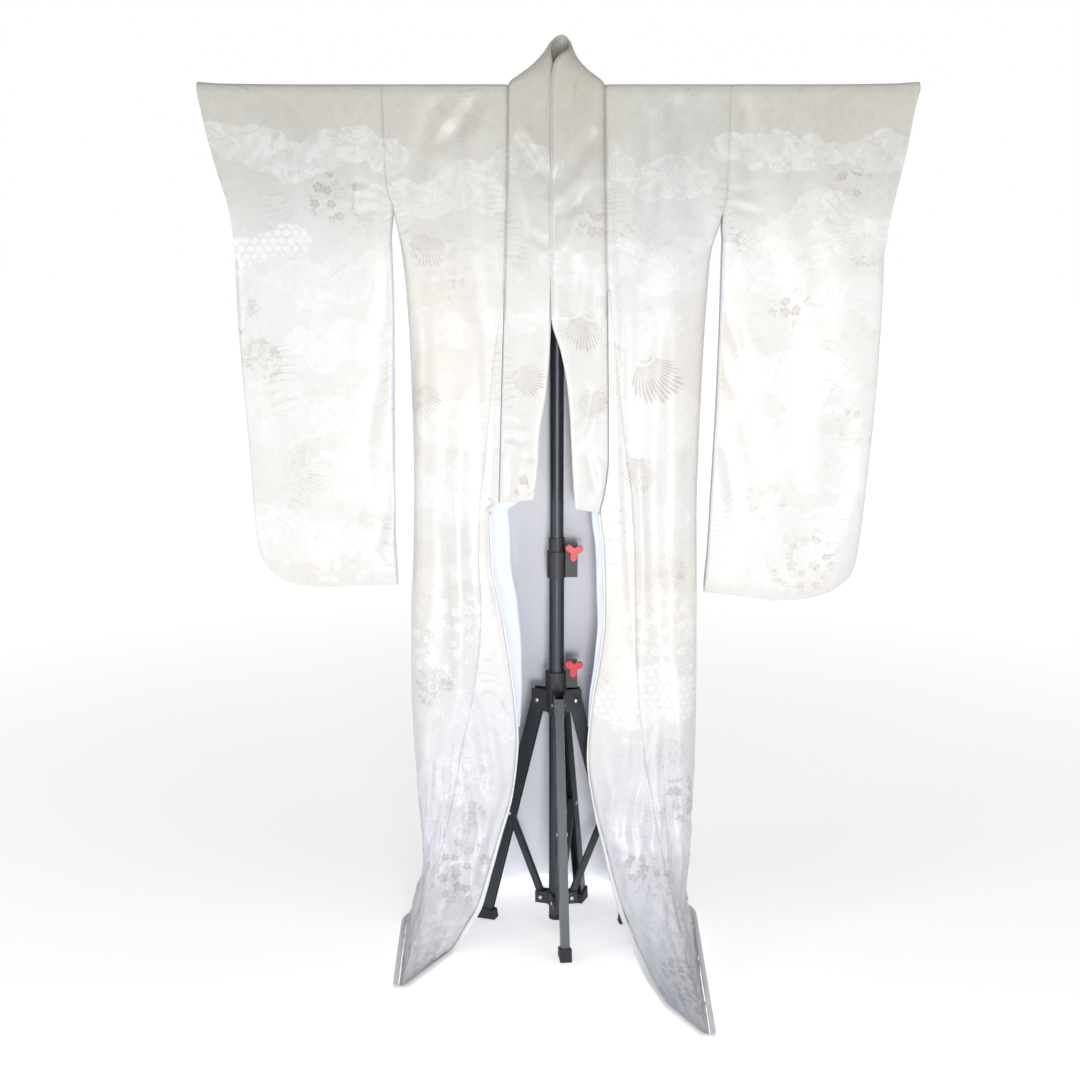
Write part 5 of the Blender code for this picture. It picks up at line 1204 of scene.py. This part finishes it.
def make_sleeve(side, looks, sizes):
    """A sleeve: both layers over the crossbar, rounded off along the bottom and, below the cuff, along
    the outer edge by half circles between the layers."""
    inner, across, down = sleeve_surface(side, sizes.spacing * 1.1, SLEEVE_COLUMNS)
    normals = outward_normals(inner, side == "right")
    rows, columns = across.shape
    length = np.abs(down)
    front = down <= 0.0
    to_inner = run_along(inner, 1)
    to_outer = to_inner[:, -1:] - to_inner
    to_hem = np.where(front, length[:1] - length, length[-1:] - length)
    sewn = inner[..., 2] > SLEEVE_SEWN
    fade = fade_towards((to_hem, 0.020), (to_outer, 0.016), (length, 0.05))
    fade = fade * np.where(sewn, ease(to_inner, 0.0, 0.018), ease(to_inner, -0.006, 0.010))
    relief = np.where(front, sleeve_relief(side, across, length, "front"),
                      sleeve_relief(side, across, length, "back"))
    relief = held_back(relief, MOST_SLEEVE) * fade
    relief += np.where(sewn, seam_dip(to_inner, length), 0.0) * ease(length, 0.03, 0.06)
    puckers = 0.00045 * np.sin(2 * np.pi * length / 0.014 + 3.0 * np.sin(length * 23.0))
    relief += puckers * np.exp(-((to_outer - 0.006) / 0.006) ** 2)
    points = inner + normals * (WALL + relief)[..., None]
    sewn_edge(points, normals, 0, 1, 0.0016, SEWN_DROP, sewn[:, :1] * 1.0)
    points, across, down = points.reshape(-1, 3), across.ravel(), down.ravel()
    grid = np.arange(rows * columns).reshape(rows, columns)
    closed = int((inner[:rows // 2, -1, 2] < CUFF_LOW).sum())
    faces = [quads_of(rows, columns, side == "right")]
    for first, last, outward in ((grid[0], grid[-1], (0.0, 0.0, -1.0)),
                                 (grid[:closed, -1], grid[rows - closed:, -1][::-1], (SIGN[side], 0.0, 0.0))):
        points, across, down, strip = half_round(points, across, down, first, last, np.array(outward))
        faces.append(strip)
    faces = np.concatenate(faces)
    piece, area = silk_piece("robe_sleeve_" + side, ["sleeve_" + side], points, across, down, faces, looks, sizes)


def half_round(points, across, down, first, last, outward):
    """Joins two rows of points, given by their numbers, by half circles that bulge outwards:
    middle + half * cos(turn) + outward * |half| * sin(turn). Returns all points, their place and the faces."""
    turn = np.linspace(0.0, np.pi, 7)[1:-1][None, :]
    middle, half = (points[first] + points[last]) / 2, (points[first] - points[last]) / 2
    radius = np.maximum(np.linalg.norm(half, axis=1), 0.0002)[:, None, None]
    arcs = (middle[:, None] + half[:, None] * np.cos(turn)[..., None]
            + outward[None, None, :] * radius * 0.9 * np.sin(turn)[..., None])
    made = len(points) + np.arange(arcs[..., 0].size).reshape(arcs.shape[:2])
    numbers = np.concatenate([first[:, None], made, last[:, None]], axis=1)
    share = turn / np.pi
    points = np.concatenate([points, arcs.reshape(-1, 3)])
    across = np.concatenate([across, (across[first][:, None] * (1 - share) + across[last][:, None] * share).ravel()])
    down = np.concatenate([down, np.broadcast_to(down[first][:, None], made.shape).ravel()])
    faces = np.stack([numbers[:-1, :-1], numbers[1:, :-1], numbers[1:, 1:], numbers[:-1, 1:]], axis=-1).reshape(-1, 4)
    a, b, c, d = (points[faces[:, k]] for k in range(4))
    facing = (np.cross(c - a, d - b) @ outward).sum()
    return points, across, down, faces if facing > 0 else faces[:, ::-1]


def make_collar(looks, sizes):
    """The collar band and, on its upper part, the separate cover; both carry the same creases."""
    for node, slot, share, offset, thickness in (
            ("collar", "silk", (0.0, 1.0), COLLAR_WALL, 0.0023),
            ("collar_cover", "silk_cover", (0.03, 0.97), COLLAR_WALL + 3 * GAP + COVER_WALL, 0.0010)):
        band = collar_surface(np.linspace(*share, COLLAR_COLUMNS), COLLAR_STEP)
        normals = outward_normals(band, True)
        if node == "collar_cover":
            ends = collar_surface(share)[[COLLAR_COVER_FIRST, COLLAR_COVER_LAST - 1], 0]
            first, last = (np.linalg.norm(band[:, 0] - end, axis=1).argmin() for end in ends)
            band, normals = band[first:last + 1], normals[first:last + 1]
        across, height = band[..., 0], band[..., 2]
        down = SHOULDER - height
        run = run_along(band, 1)
        width = run[:, -1:]
        middle = COLLAR_COLUMNS // 2
        length = run_along(band, 0)[:, middle:middle + 1] + 0 * across
        to_end = np.minimum(length - length.min(), length.max() - length)
        fade = fade_towards((run, 0.012), (width - run, 0.010), (to_end, 0.012))
        fade = fade * ease(SHOULDER - height, -0.02, 0.05)
        relief = crease_field(COLLAR_CREASES, across, down) + billow(2.5 * across, 2.0 * down, 41, 0.0010)
        relief = held_back(relief, MOST_COLLAR) * fade
        if node == "collar_cover":
            relief += seam_dip(to_end, run)
        relief -= (1.0 - rounded(width - run, 0.0028)) * 0.0011 + 0.0010 * np.exp(-(run / 0.005) ** 2)
        points = band + normals * (offset + relief)[..., None]
        sewn_edge(points, normals, 0, 1, drop=0.0010)
        piece, area = silk_piece("robe_" + node, [node], points, across, -down, quads_of(*across.shape, True),
                                 looks, sizes, thickness, "silk")
        state_flat(run, length, ["robe_body_left", "robe_body_right"])


def make_back_lining(side, looks, sizes):
    """The back's lining, a little inside it, with the back's own creases and soft waves lower down."""
    sign = SIGN[side]
    reach = 0.966                                   # share of the back's width that it covers
    levels = even_levels(back_surface, side, 0.5, BACK_LINING_TOP, 0.004, LINING_STEP)
    u = body_columns(LINING_COLUMNS)
    inner = back_surface(side, levels, u[u < reach])
    run = run_along(inner, 1)
    across = sign * (inner[:, :1, 0] * sign + run)
    length = run_along(inner, 0)[:, 10:11] + (SHOULDER - BACK_LINING_TOP) + 0.0 * across
    fade = fade_towards((run, 0.020), (run[:, -1:] - run, 0.020), (length.max() - length, 0.030))
    relief = np.clip(back_relief(side, across, length) * fade, -0.0048, 0.0)
    waves = 0.0024 * (0.5 + 0.5 * np.sin(across * 95.0 + 2.0 * np.sin(length * 5.0) + (1.0 if sign > 0 else 0.0)))
    relief = relief - waves * fade * ease(length, 0.55, 0.9)
    points = inner + outward_normals(inner, side == "right") * (relief - 2.5 * GAP)[..., None]
    points[..., 0] = sign * np.maximum(np.abs(points[..., 0]), GAP)
    piece, area = lining_piece("robe_back_lining_" + side, "back_lining_" + side, points, across, length,
                               side == "right", looks["back_lining"])
    state_flat(run, length, ["robe_body_" + side])


def make_front_lining(side, looks, sizes):
    """The facing strip that shows past a front edge in soft waves."""
    rows, wide = 72, 0.6                            # levels of the strip, and its share of the overlap
    levels = np.linspace(LINING_TOP + 0.030, LINING_LOW, rows)
    u = np.linspace(0.0, wide, 16)
    strip = overlap_surface(side, levels, u)
    show = LINING_SHOW[side] * np.sin(np.pi * np.linspace(0.35, 0.98, rows)) + ROLL_RADIUS
    outer_share = np.clip(1.0 - u / wide, 0.0, 1.0)[None, :] ** 1.5
    strip[..., 0] -= SIGN[side] * show[:, None] * outer_share
    ripple = np.sin(levels[:, None] * 62.0 + 5.0 * outer_share) * 0.0016 * outer_share
    strip[..., 1] += LINING_WALL + 4 * GAP + 0.0022 * outer_share + ripple
    length = np.broadcast_to(SHOULDER - levels[:, None], strip.shape[:2])
    piece, area = lining_piece("robe_front_lining_" + side, "front_lining_" + side, strip, strip[..., 0], length,
                               side == "left", looks["lining"])
    state_flat(run_along(strip, 1), length, ["robe_overlap_" + side], 1.02)


def hem_path(side):
    """Centre line of the padded roll: down the front edge, round the tail's tip and to the centre
    back, just outside the panels' faces; then its radius at each point."""
    flip = side == "right"
    floor_rise = 0.0008
    levels = even_levels(overlap_surface, side, 0.0, EDGE_TOP, 0.0, 0.008)
    pair = overlap_surface(side, levels, np.array([0.0, 0.2]))
    edge, across = pair[:, 0], pair[:, 1] - pair[:, 0]
    radius = np.interp(levels, (0.05, 0.30), (ROLL_RADIUS, ROLL_RADIUS * EDGE_ROLL))
    reach = WALL + GAP + ROLL_RADIUS + 0.0005
    across /= np.linalg.norm(across, axis=1, keepdims=True)
    outward = np.cross((0.0, 0.0, 1.0), across) * (-1.0 if flip else 1.0)
    beside = np.clip((levels - 0.035) / 0.06, 0.0, 1.0)[:, None]       # 0 at the floor: in front of the edge
    away = -across * beside + outward * (1.0 - beside)
    away /= np.linalg.norm(away, axis=1, keepdims=True)
    distance = (radius + 2 * GAP)[:, None] * beside + reach * (1.0 - beside)
    edge_line = edge + away * distance + outward * beside * WALL * 0.65
    edge_line[:, 2] = np.maximum(edge_line[:, 2], radius + floor_rise)
    runs = [hem_side(overlap_surface, side, np.linspace(0.08, 1.0, 20), flip),
            hem_side(front_surface, side, np.linspace(0.0, 0.995, 40), flip),
            hem_side(back_surface, side, np.linspace(0.985, 0.02, 50), not flip)]
    points, normals = (np.concatenate(part) for part in zip(*runs))
    rolled = points + normals * reach
    rolled[:, 2] = ROLL_RADIUS + floor_rise
    path = np.concatenate([edge_line, rolled])
    radii = np.concatenate([radius, np.full(len(rolled), ROLL_RADIUS)])
    run = distance_along(path)
    even = np.linspace(0.0, run[-1], int(run[-1] / ROLL_STEP))
    path = np.stack([np.interp(even, run, path[:, k]) for k in range(3)], axis=1)
    for _ in range(6):                              # rounds of smoothing
        path[1:-1] = (path[:-2] + 2.0 * path[1:-1] + path[2:]) / 4.0
    return path, np.interp(even, run, radii)


def make_hem(side, looks, sizes):
    """The padded roll along the front edge and the hem, slightly uneven from its quilting."""
    path, radii = hem_path(side)
    run = distance_along(path)
    radii = radii * (0.97 + 0.035 * np.sin(run * 150.0) + 0.03 * np.sin(run * 41.0 + 1.0))
    piece = new_object("robe_hem_" + side, tube_mesh("robe_hem_" + side, path, radii, 14, looks["roll"]))
    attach(piece, "frame")
    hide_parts("hem_roll_" + side)


# ---------------- the stand's pieces
SLOT_NODES = {
    "black_metal": "crossbar mast_upper mast_lower leg_front leg_left leg_rear leg_right brace_front brace_left "
                   "brace_rear brace_right",
    "black_plastic": "tee_head mast_clamp leg_hub brace_ring",
    "red_plastic": "mast_knob hub_knob",
    "steel": "mast_knob_screw hub_knob_screw",
    "rubber": "mast_plug foot_front foot_left foot_rear foot_right",
}
LEG_BEARINGS = {"front": -84.0, "right": 10.0, "rear": 70.0, "left": 160.0}    # compass of each leg, degrees
LEG_SLOPE = 0.25                    # how far a leg goes out for each metre down
HUB_PIVOT, RING_PIVOT = (0.036, 0.0, 0.460), (0.029, 0.0, 0.062)        # out from the mast's axis, and up
BRACE_TOP = 0.225                   # height of a brace's pivot on its leg
FORK_HALF, LEG_HALF = 0.0124, 0.0095            # from a leg's own plane to the rivet heads


def body_of(node):
    """The body that a part of the stand belongs to: each knob's own, or the frame."""
    return next((knob + "_body" for knob in ("mast_knob", "hub_knob") if node.startswith(knob)), "frame")


def finished_part(node, finish, bevel):
    """A rigid part with its solid's own shape, welded, its edges eased by a small bevel and its round
    faces shaded smooth."""
    shape = bmesh.new()
    shape.from_mesh(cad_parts[node].data)
    bmesh.ops.remove_doubles(shape, verts=shape.verts, dist=0.00002)
    bmesh.ops.dissolve_limit(shape, angle_limit=math.radians(1.0), verts=shape.verts, edges=shape.edges)
    mesh = bpy.data.meshes.new("stand_" + node)
    shape.to_mesh(mesh)
    shape.free()
    mesh.materials.clear()
    mesh.materials.append(finish)
    mesh.polygons.foreach_set("material_index", np.zeros(len(mesh.polygons), np.int32))
    mesh.shade_smooth()
    mesh.set_sharp_from_angle(angle=math.radians(32.0))
    piece = new_object("stand_" + node, mesh)
    if bevel:
        eased = piece.modifiers.new("eased edges", "BEVEL")
        eased.width = bevel
        eased.segments = 2
        eased.limit_method = "ANGLE"
        eased.angle_limit = math.radians(38.0)
        eased.harden_normals = False
        eased.use_clamp_overlap = True
    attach(piece, body_of(node))
    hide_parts(node)


def dome_mesh(name, places, radius, height, sides, finish):
    """Domed rivet heads: rings of radius r*cos(t) at height h*sin(t) above each place, t from 0 to 90
    degrees, on a short straight skirt. A place is (centre, direction)."""
    turn = ring_angles(sides)
    tilt = np.linspace(0.0, np.pi / 2, 5)
    ring_radius = np.concatenate([[1.0], np.cos(tilt)]) * radius
    rise = np.concatenate([[-0.35], np.sin(tilt)]) * height
    ring_radius[-1] = radius * 0.02
    points, faces = [], []
    for count, (centre, direction) in enumerate(places):
        direction = np.array(direction, float) / np.linalg.norm(direction)
        side = np.cross(direction, (0.0, 0.0, 1.0))
        side = side / np.linalg.norm(side)
        other = np.cross(direction, side)
        circle = np.cos(turn)[:, None] * side + np.sin(turn)[:, None] * other
        rings = (np.array(centre) + direction * rise[:, None, None] + circle[None] * ring_radius[:, None, None])
        faces += ring_faces(len(rise), sides, count * len(rise) * sides)
        points.append(rings.reshape(-1, 3))
    mesh = new_mesh(name, np.concatenate(points), faces)
    shape = bmesh.new()
    shape.from_mesh(mesh)
    bmesh.ops.recalc_face_normals(shape, faces=shape.faces)
    shape.to_mesh(mesh)
    shape.free()
    mesh.materials.append(finish)
    return mesh


def leg_pivots():
    """Places of the rivet heads: both ends of each pivot at the hub, at the brace's top on the leg, and at
    the ring, all square to the leg's own plane."""
    places = []
    hub = np.array(HUB_PIVOT)
    tilt = math.atan(LEG_SLOPE)
    top = hub + np.array([math.sin(tilt), 0.0, -math.cos(tilt)]) * ((hub[2] - BRACE_TOP) / math.cos(tilt))
    for bearing in LEG_BEARINGS.values():
        turn = Matrix.Rotation(math.radians(bearing), 3, "Z")
        for spot, out in ((hub, FORK_HALF), (RING_PIVOT, FORK_HALF), (top, LEG_HALF)):
            for side in (-1.0, 1.0):
                places.append((tuple(turn @ Vector((spot[0], side * out, spot[2]))),
                               tuple(turn @ Vector((0.0, side, 0.0)))))
    return places


# ---------------- settings
def colour_setting(name, description, default):
    """A colour of the panel."""
    return bpy.props.FloatVectorProperty(name=name, description=description, subtype="COLOR", default=default,
                                         min=0.0, max=1.0)


def number_setting(name, description, default, low, high, **more):
    """A number of the panel, between its limits."""
    return bpy.props.FloatProperty(name=name, description=description, default=default, min=low, max=high, **more)


class RobeClothSettings(bpy.types.PropertyGroup):
    """Sizes and colours of the robe."""
    spacing: number_setting("Spacing", "Distance between the points of a panel's surface", 0.0065, 0.003, 0.02,
                            precision=4, unit="LENGTH")
    # Painted shade: this shoulder colour is ivory and also darker than the panel silk, standing in for shade at the
    # top of the robe.
    top_colour: colour_setting("Shoulder silk", "Ground colour of the silk at the shoulders", (0.485, 0.475, 0.435))
    middle_colour: colour_setting("Panel silk", "Ground colour of the silk down the panels", (0.715, 0.708, 0.692))
    low_colour: colour_setting("Train silk", "Ground colour of the silk over the train", (0.665, 0.672, 0.725))
    shade_colour: colour_setting("Figure, matt", "Share of the ground that the darker threads keep",
                                 (0.720, 0.670, 0.650))
    shine_colour: colour_setting("Figure, bright", "Share by which the brighter threads near white",
                                 (0.330, 0.350, 0.390))
    lining_colour: colour_setting("Facing", "Colour of the facing beside the front edges", (0.740, 0.775, 0.900))
    back_lining_colour: colour_setting("Back lining", "Colour of the lining inside the back", (0.860, 0.865, 0.920))
    roll_colour: colour_setting("Padded edge", "Colour of the padded roll along the hem", (0.860, 0.860, 0.875))


class RobeStandSettings(bpy.types.PropertyGroup):
    """Sizes and colours of the stand."""
    edge: number_setting("Eased edge", "Width of the small bevel on the stand's edges", 0.0004, 0.0, 0.002,
                         precision=4, unit="LENGTH")
    rivet: number_setting("Rivet head", "Radius of a rivet's head", 0.0042, 0.002, 0.008, precision=4, unit="LENGTH")
    metal_colour: colour_setting("Powder coat", "Colour of the tubes and legs", (0.036, 0.042, 0.052))
    plastic_colour: colour_setting("Moulding", "Colour of the clamp, hub and tee", (0.022, 0.024, 0.028))
    knob_colour: colour_setting("Knob", "Colour of the two knobs", (0.520, 0.006, 0.012))
    steel_colour: colour_setting("Steel", "Colour of the screws and rivets", (0.560, 0.565, 0.575))
    rubber_colour: colour_setting("Rubber", "Colour of the feet and the plug", (0.020, 0.020, 0.022))


class RobeStageSettings(bpy.types.PropertyGroup):
    """Floor, light and camera."""
    floor_radius: number_setting("Floor radius", "Radius of the floor", 40.0, 3.0, 100.0, unit="LENGTH")
    floor_colour: colour_setting("Floor", "Colour of the floor", (0.93, 0.93, 0.93))
    floor_glow: number_setting("Floor glow", "Light given off by the floor far from the robe", 0.87, 0.0, 2.0)
    surround: number_setting("Surround", "Strength of the even light from all round", 0.235, 0.0, 5.0)
    key_power: number_setting("Key light", "Power of the large light beside the camera, in watts", 20.0, 0.0, 2000.0)
    fill_power: number_setting("Fill light", "Power of the light on the other side, in watts", 6.5, 0.0, 2000.0)
    lens: number_setting("Lens", "Focal length on a 36 mm sensor, in millimetres", 54.0, 20.0, 200.0)
    distance: number_setting("Camera distance", "Camera's distance in front of the mast", 3.0, 1.0, 10.0,
                             unit="LENGTH")
    height: number_setting("Camera height", "Camera's height above the floor", 1.30, 0.1, 4.0, unit="LENGTH")
    tilt: number_setting("Camera tilt", "Angle by which the camera looks down", math.radians(10.0), -0.5, 1.5,
                         subtype="ANGLE", unit="ROTATION")


# ---------------- finishes, made once
def made_once(kept, name, make):
    """A finish or group by its name, made the first time it is asked for."""
    return kept.get(name) or make()


def shader_groups():
    """The effects that several finishes share."""
    builders = (hexagon_cells, petal_ring, feather_fan, plain_silk_weave, worn_coating)
    groups = {build.__name__: made_once(bpy.data.node_groups, build.__name__, build) for build in builders}
    groups["figured_silk"] = made_once(bpy.data.node_groups, "figured_silk", lambda: figured_silk(groups))
    return groups


def robe_looks(sizes):
    """The robe's finishes by the part of the garment that they are for."""
    groups = shader_groups()
    looks = {"silk": made_once(bpy.data.materials, "figured silk",
                               lambda: silk_material("figured silk", groups, sizes))}
    for part, name, colour, roughness in (("lining", "facing silk", sizes.lining_colour, 0.52),
                                          ("back_lining", "back lining silk", sizes.back_lining_colour, 0.52),
                                          ("roll", "padded edge silk", sizes.roll_colour, 0.45)):
        looks[part] = made_once(bpy.data.materials, name,
                                lambda: lining_material(name, groups, tuple(colour), roughness))
    return looks


def stand_looks(sizes):
    """The stand's finishes by the name of their slot: roughness, metal, grain, then what shows where an
    edge is rubbed bare, with its metal."""
    groups = shader_groups()
    return {slot: coated_material(name, groups, tuple(colour), *surface) for slot, name, colour, *surface in (
        ("black_metal", "powder coat", sizes.metal_colour, 0.34, 0.35, 900.0, (0.20, 0.20, 0.21), 0.9),
        ("black_plastic", "black moulding", sizes.plastic_colour, 0.46, 0.0, 1400.0, (0.09, 0.09, 0.10)),
        ("red_plastic", "red moulding", sizes.knob_colour, 0.34, 0.0, 1100.0, (0.72, 0.20, 0.20)),
        ("steel", "bright steel", sizes.steel_colour, 0.30, 1.0, 2200.0, (0.70, 0.70, 0.71), 1.0),
        ("rubber", "black rubber", sizes.rubber_colour, 0.78, 0.0, 700.0, (0.05, 0.05, 0.05)))}


# ---------------- operators
class RobeStep:
    """Makes its kind of piece on both sides of the robe."""
    makers = ()

    def execute(self, context):
        sizes = context.scene.robe_cloth
        looks = robe_looks(sizes)
        for side in SIGN:
            for make in self.makers:
                make(side, looks, sizes)
        return {"FINISHED"}


class ROBE_OT_body(RobeStep, bpy.types.Operator):
    """Body strips: from the front hem over the crossbar to the back hem"""
    bl_idname = "robe.body"
    bl_label = "Body strips"
    makers = (make_body,)


class ROBE_OT_overlaps(RobeStep, bpy.types.Operator):
    """Overlap panels beside the front opening"""
    bl_idname = "robe.overlaps"
    bl_label = "Overlap panels"
    makers = (make_overlap,)


class ROBE_OT_sleeves(RobeStep, bpy.types.Operator):
    """Hanging sleeves"""
    bl_idname = "robe.sleeves"
    bl_label = "Sleeves"
    makers = (make_sleeve,)


class ROBE_OT_collar(bpy.types.Operator):
    """Collar band and its cover"""
    bl_idname = "robe.collar"
    bl_label = "Collar"

    def execute(self, context):
        sizes = context.scene.robe_cloth
        make_collar(robe_looks(sizes), sizes)
        return {"FINISHED"}


class ROBE_OT_linings(RobeStep, bpy.types.Operator):
    """Back lining and the facing beside the front edges"""
    bl_idname = "robe.linings"
    bl_label = "Linings"
    makers = (make_back_lining, make_front_lining)


class ROBE_OT_hem(RobeStep, bpy.types.Operator):
    """Padded roll along the front edges and the hem"""
    bl_idname = "robe.hem"
    bl_label = "Padded hem"
    makers = (make_hem,)


class ROBE_OT_stand(bpy.types.Operator):
    """Tubes, mouldings, knobs, feet and rivet heads of the stand"""
    bl_idname = "robe.stand"
    bl_label = "Stand"

    def execute(self, context):
        sizes = context.scene.robe_stand
        looks = stand_looks(sizes)
        for slot, nodes in SLOT_NODES.items():
            for node in nodes.split():
                finished_part(node, looks[slot], sizes.edge)
        heads = dome_mesh("stand_rivet_heads", leg_pivots(), sizes.rivet, 0.0016, 16, looks["steel"])
        heads = new_object("stand_rivet_heads", heads)
        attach(heads, "frame")
        return {"FINISHED"}


class ROBE_OT_stage(bpy.types.Operator):
    """Floor, soft light and camera"""
    bl_idname = "robe.stage"
    bl_label = "Stage"

    def execute(self, context):
        sizes = context.scene.robe_stage
        make_floor(sizes)
        make_lights(sizes)
        make_camera(sizes)
        return {"FINISHED"}


def make_floor(sizes):
    """A wide disc just under the part, as one ring of points closed by a single face, in one pale finish."""
    sides, below = 96, -0.0006
    turn = ring_angles(sides)
    points = np.stack([np.cos(turn), np.sin(turn), 0 * turn], axis=1) * sizes.floor_radius
    points[:, 2] = below
    mesh = bpy.data.meshes.new("stage_floor")
    mesh.from_pydata(points.tolist(), [], [list(range(sides))])
    mesh.update()
    floor = new_object("stage_floor", mesh)
    made, wiring, shader = new_material("pale floor")
    place = wiring.node("ShaderNodeTexCoord").outputs["Object"]
    mottled = wiring.noise(place, 3.0, 3.0)
    colour = tuple(sizes.floor_colour)
    paler = tuple(min(1.0, c * 1.01) for c in colour)
    # Painted light: the floor glows, weaker within half a metre of the middle where the robe stands, rising to full
    # at five metres.
    wiring.fed(shader, {"Base Color": wiring.mix(mottled, colour, paler), "Roughness": 0.95,
                        "Specular IOR Level": 0.15, "Emission Strength": sizes.floor_glow,
                        "Emission Color": wiring.ramp(wiring.vector("LENGTH", place), 0.5, 5.0, 0.56, 1.0)})
    mesh.materials.append(made)


def make_lights(sizes):
    """Even white light from all round, one large soft light beside the camera and a weaker one across."""
    world = bpy.context.scene.world or bpy.data.worlds.new("surround")
    bpy.context.scene.world = world
    world.use_nodes = True
    wiring = Wiring(world.node_tree)
    ground = world.node_tree.nodes["Background"]
    ground.inputs["Color"].default_value = (1.0, 1.0, 1.0, 1.0)
    seen = Wire(wiring, wiring.node("ShaderNodeLightPath").outputs["Is Camera Ray"])
    wiring.feed(ground.inputs["Strength"], seen * max(0.0, 1.0 - sizes.surround) + sizes.surround)
    bpy.context.scene.view_settings.view_transform = "Standard"
    for name, power, size, spot, aim in (
            ("key light", sizes.key_power, 0.9, (-3.1, -1.9, 1.15), (0.0, 0.0, 0.70)),
            ("fill light", sizes.fill_power, 1.8, (2.5, -2.3, 0.9), (0.0, 0.0, 0.70)),
            ("front light", sizes.fill_power * 7.0, 0.7, (0.22, -3.4, 0.60), (-0.03, 0.0, 0.60)),
            ("floor light", sizes.fill_power * 4.0, 3.0, (0.4, -0.8, 3.6), (0.3, -0.8, 0.0))):
        light = bpy.data.lights.new(name, "AREA")
        light.energy = power
        light.shape = "DISK"
        light.size = size
        lamp = new_object(name, light)
        lamp.location = Vector(spot) + Vector(SHIFT)
        lamp.rotation_euler = (Vector(aim) - Vector(spot)).to_track_quat("-Z", "Y").to_euler()


def make_camera(sizes):
    """A camera in front of the mast, a little to its left, looking slightly down."""
    camera = bpy.data.cameras.new("camera")
    camera.lens = sizes.lens
    camera.sensor_width = 36.0
    camera.sensor_fit = "HORIZONTAL"
    camera.clip_end = 200.0
    view = new_object("camera", camera)
    view.location = (SHIFT[0] - 0.0315, SHIFT[1] - sizes.distance, sizes.height)
    view.rotation_euler = (math.pi / 2 - sizes.tilt, 0.0, 0.0)
    bpy.context.scene.camera = view


class ROBE_PT_panel(bpy.types.Panel):
    """Settings and steps, in the sidebar"""
    bl_idname = "ROBE_PT_panel"
    bl_label = "Robe on its stand"
    bl_space_type = "VIEW_3D"
    bl_region_type = "UI"
    bl_category = "Robe"

    def draw(self, context):
        for title, settings, steps in (("Cloth", context.scene.robe_cloth, ROBE_STEPS),
                                       ("Stand", context.scene.robe_stand, (ROBE_OT_stand,)),
                                       ("Stage", context.scene.robe_stage, (ROBE_OT_stage,))):
            box = self.layout.box()
            box.label(text=title)
            for name in settings.bl_rna.properties.keys():
                if name not in ("rna_type", "name"):
                    box.prop(settings, name)
            for step in steps:
                box.operator(step.bl_idname)


ROBE_STEPS = (ROBE_OT_body, ROBE_OT_overlaps, ROBE_OT_sleeves, ROBE_OT_collar, ROBE_OT_linings, ROBE_OT_hem)
CLASSES = (RobeClothSettings, RobeStandSettings, RobeStageSettings, *ROBE_STEPS, ROBE_OT_stand, ROBE_OT_stage,
           ROBE_PT_panel)


def register():
    for each in CLASSES:
        bpy.utils.register_class(each)
    bpy.types.Scene.robe_cloth = bpy.props.PointerProperty(type=RobeClothSettings)
    bpy.types.Scene.robe_stand = bpy.props.PointerProperty(type=RobeStandSettings)
    bpy.types.Scene.robe_stage = bpy.props.PointerProperty(type=RobeStageSettings)


def unregister():
    del bpy.types.Scene.robe_stage, bpy.types.Scene.robe_stand, bpy.types.Scene.robe_cloth
    for each in reversed(CLASSES):
        bpy.utils.unregister_class(each)


def main():
    """Makes every piece in order."""
    register()
    for step in (bpy.ops.robe.body, bpy.ops.robe.overlaps, bpy.ops.robe.sleeves, bpy.ops.robe.collar,
                 bpy.ops.robe.linings, bpy.ops.robe.hem, bpy.ops.robe.stand, bpy.ops.robe.stage):
        step()


if __name__ == "__main__":
    main()
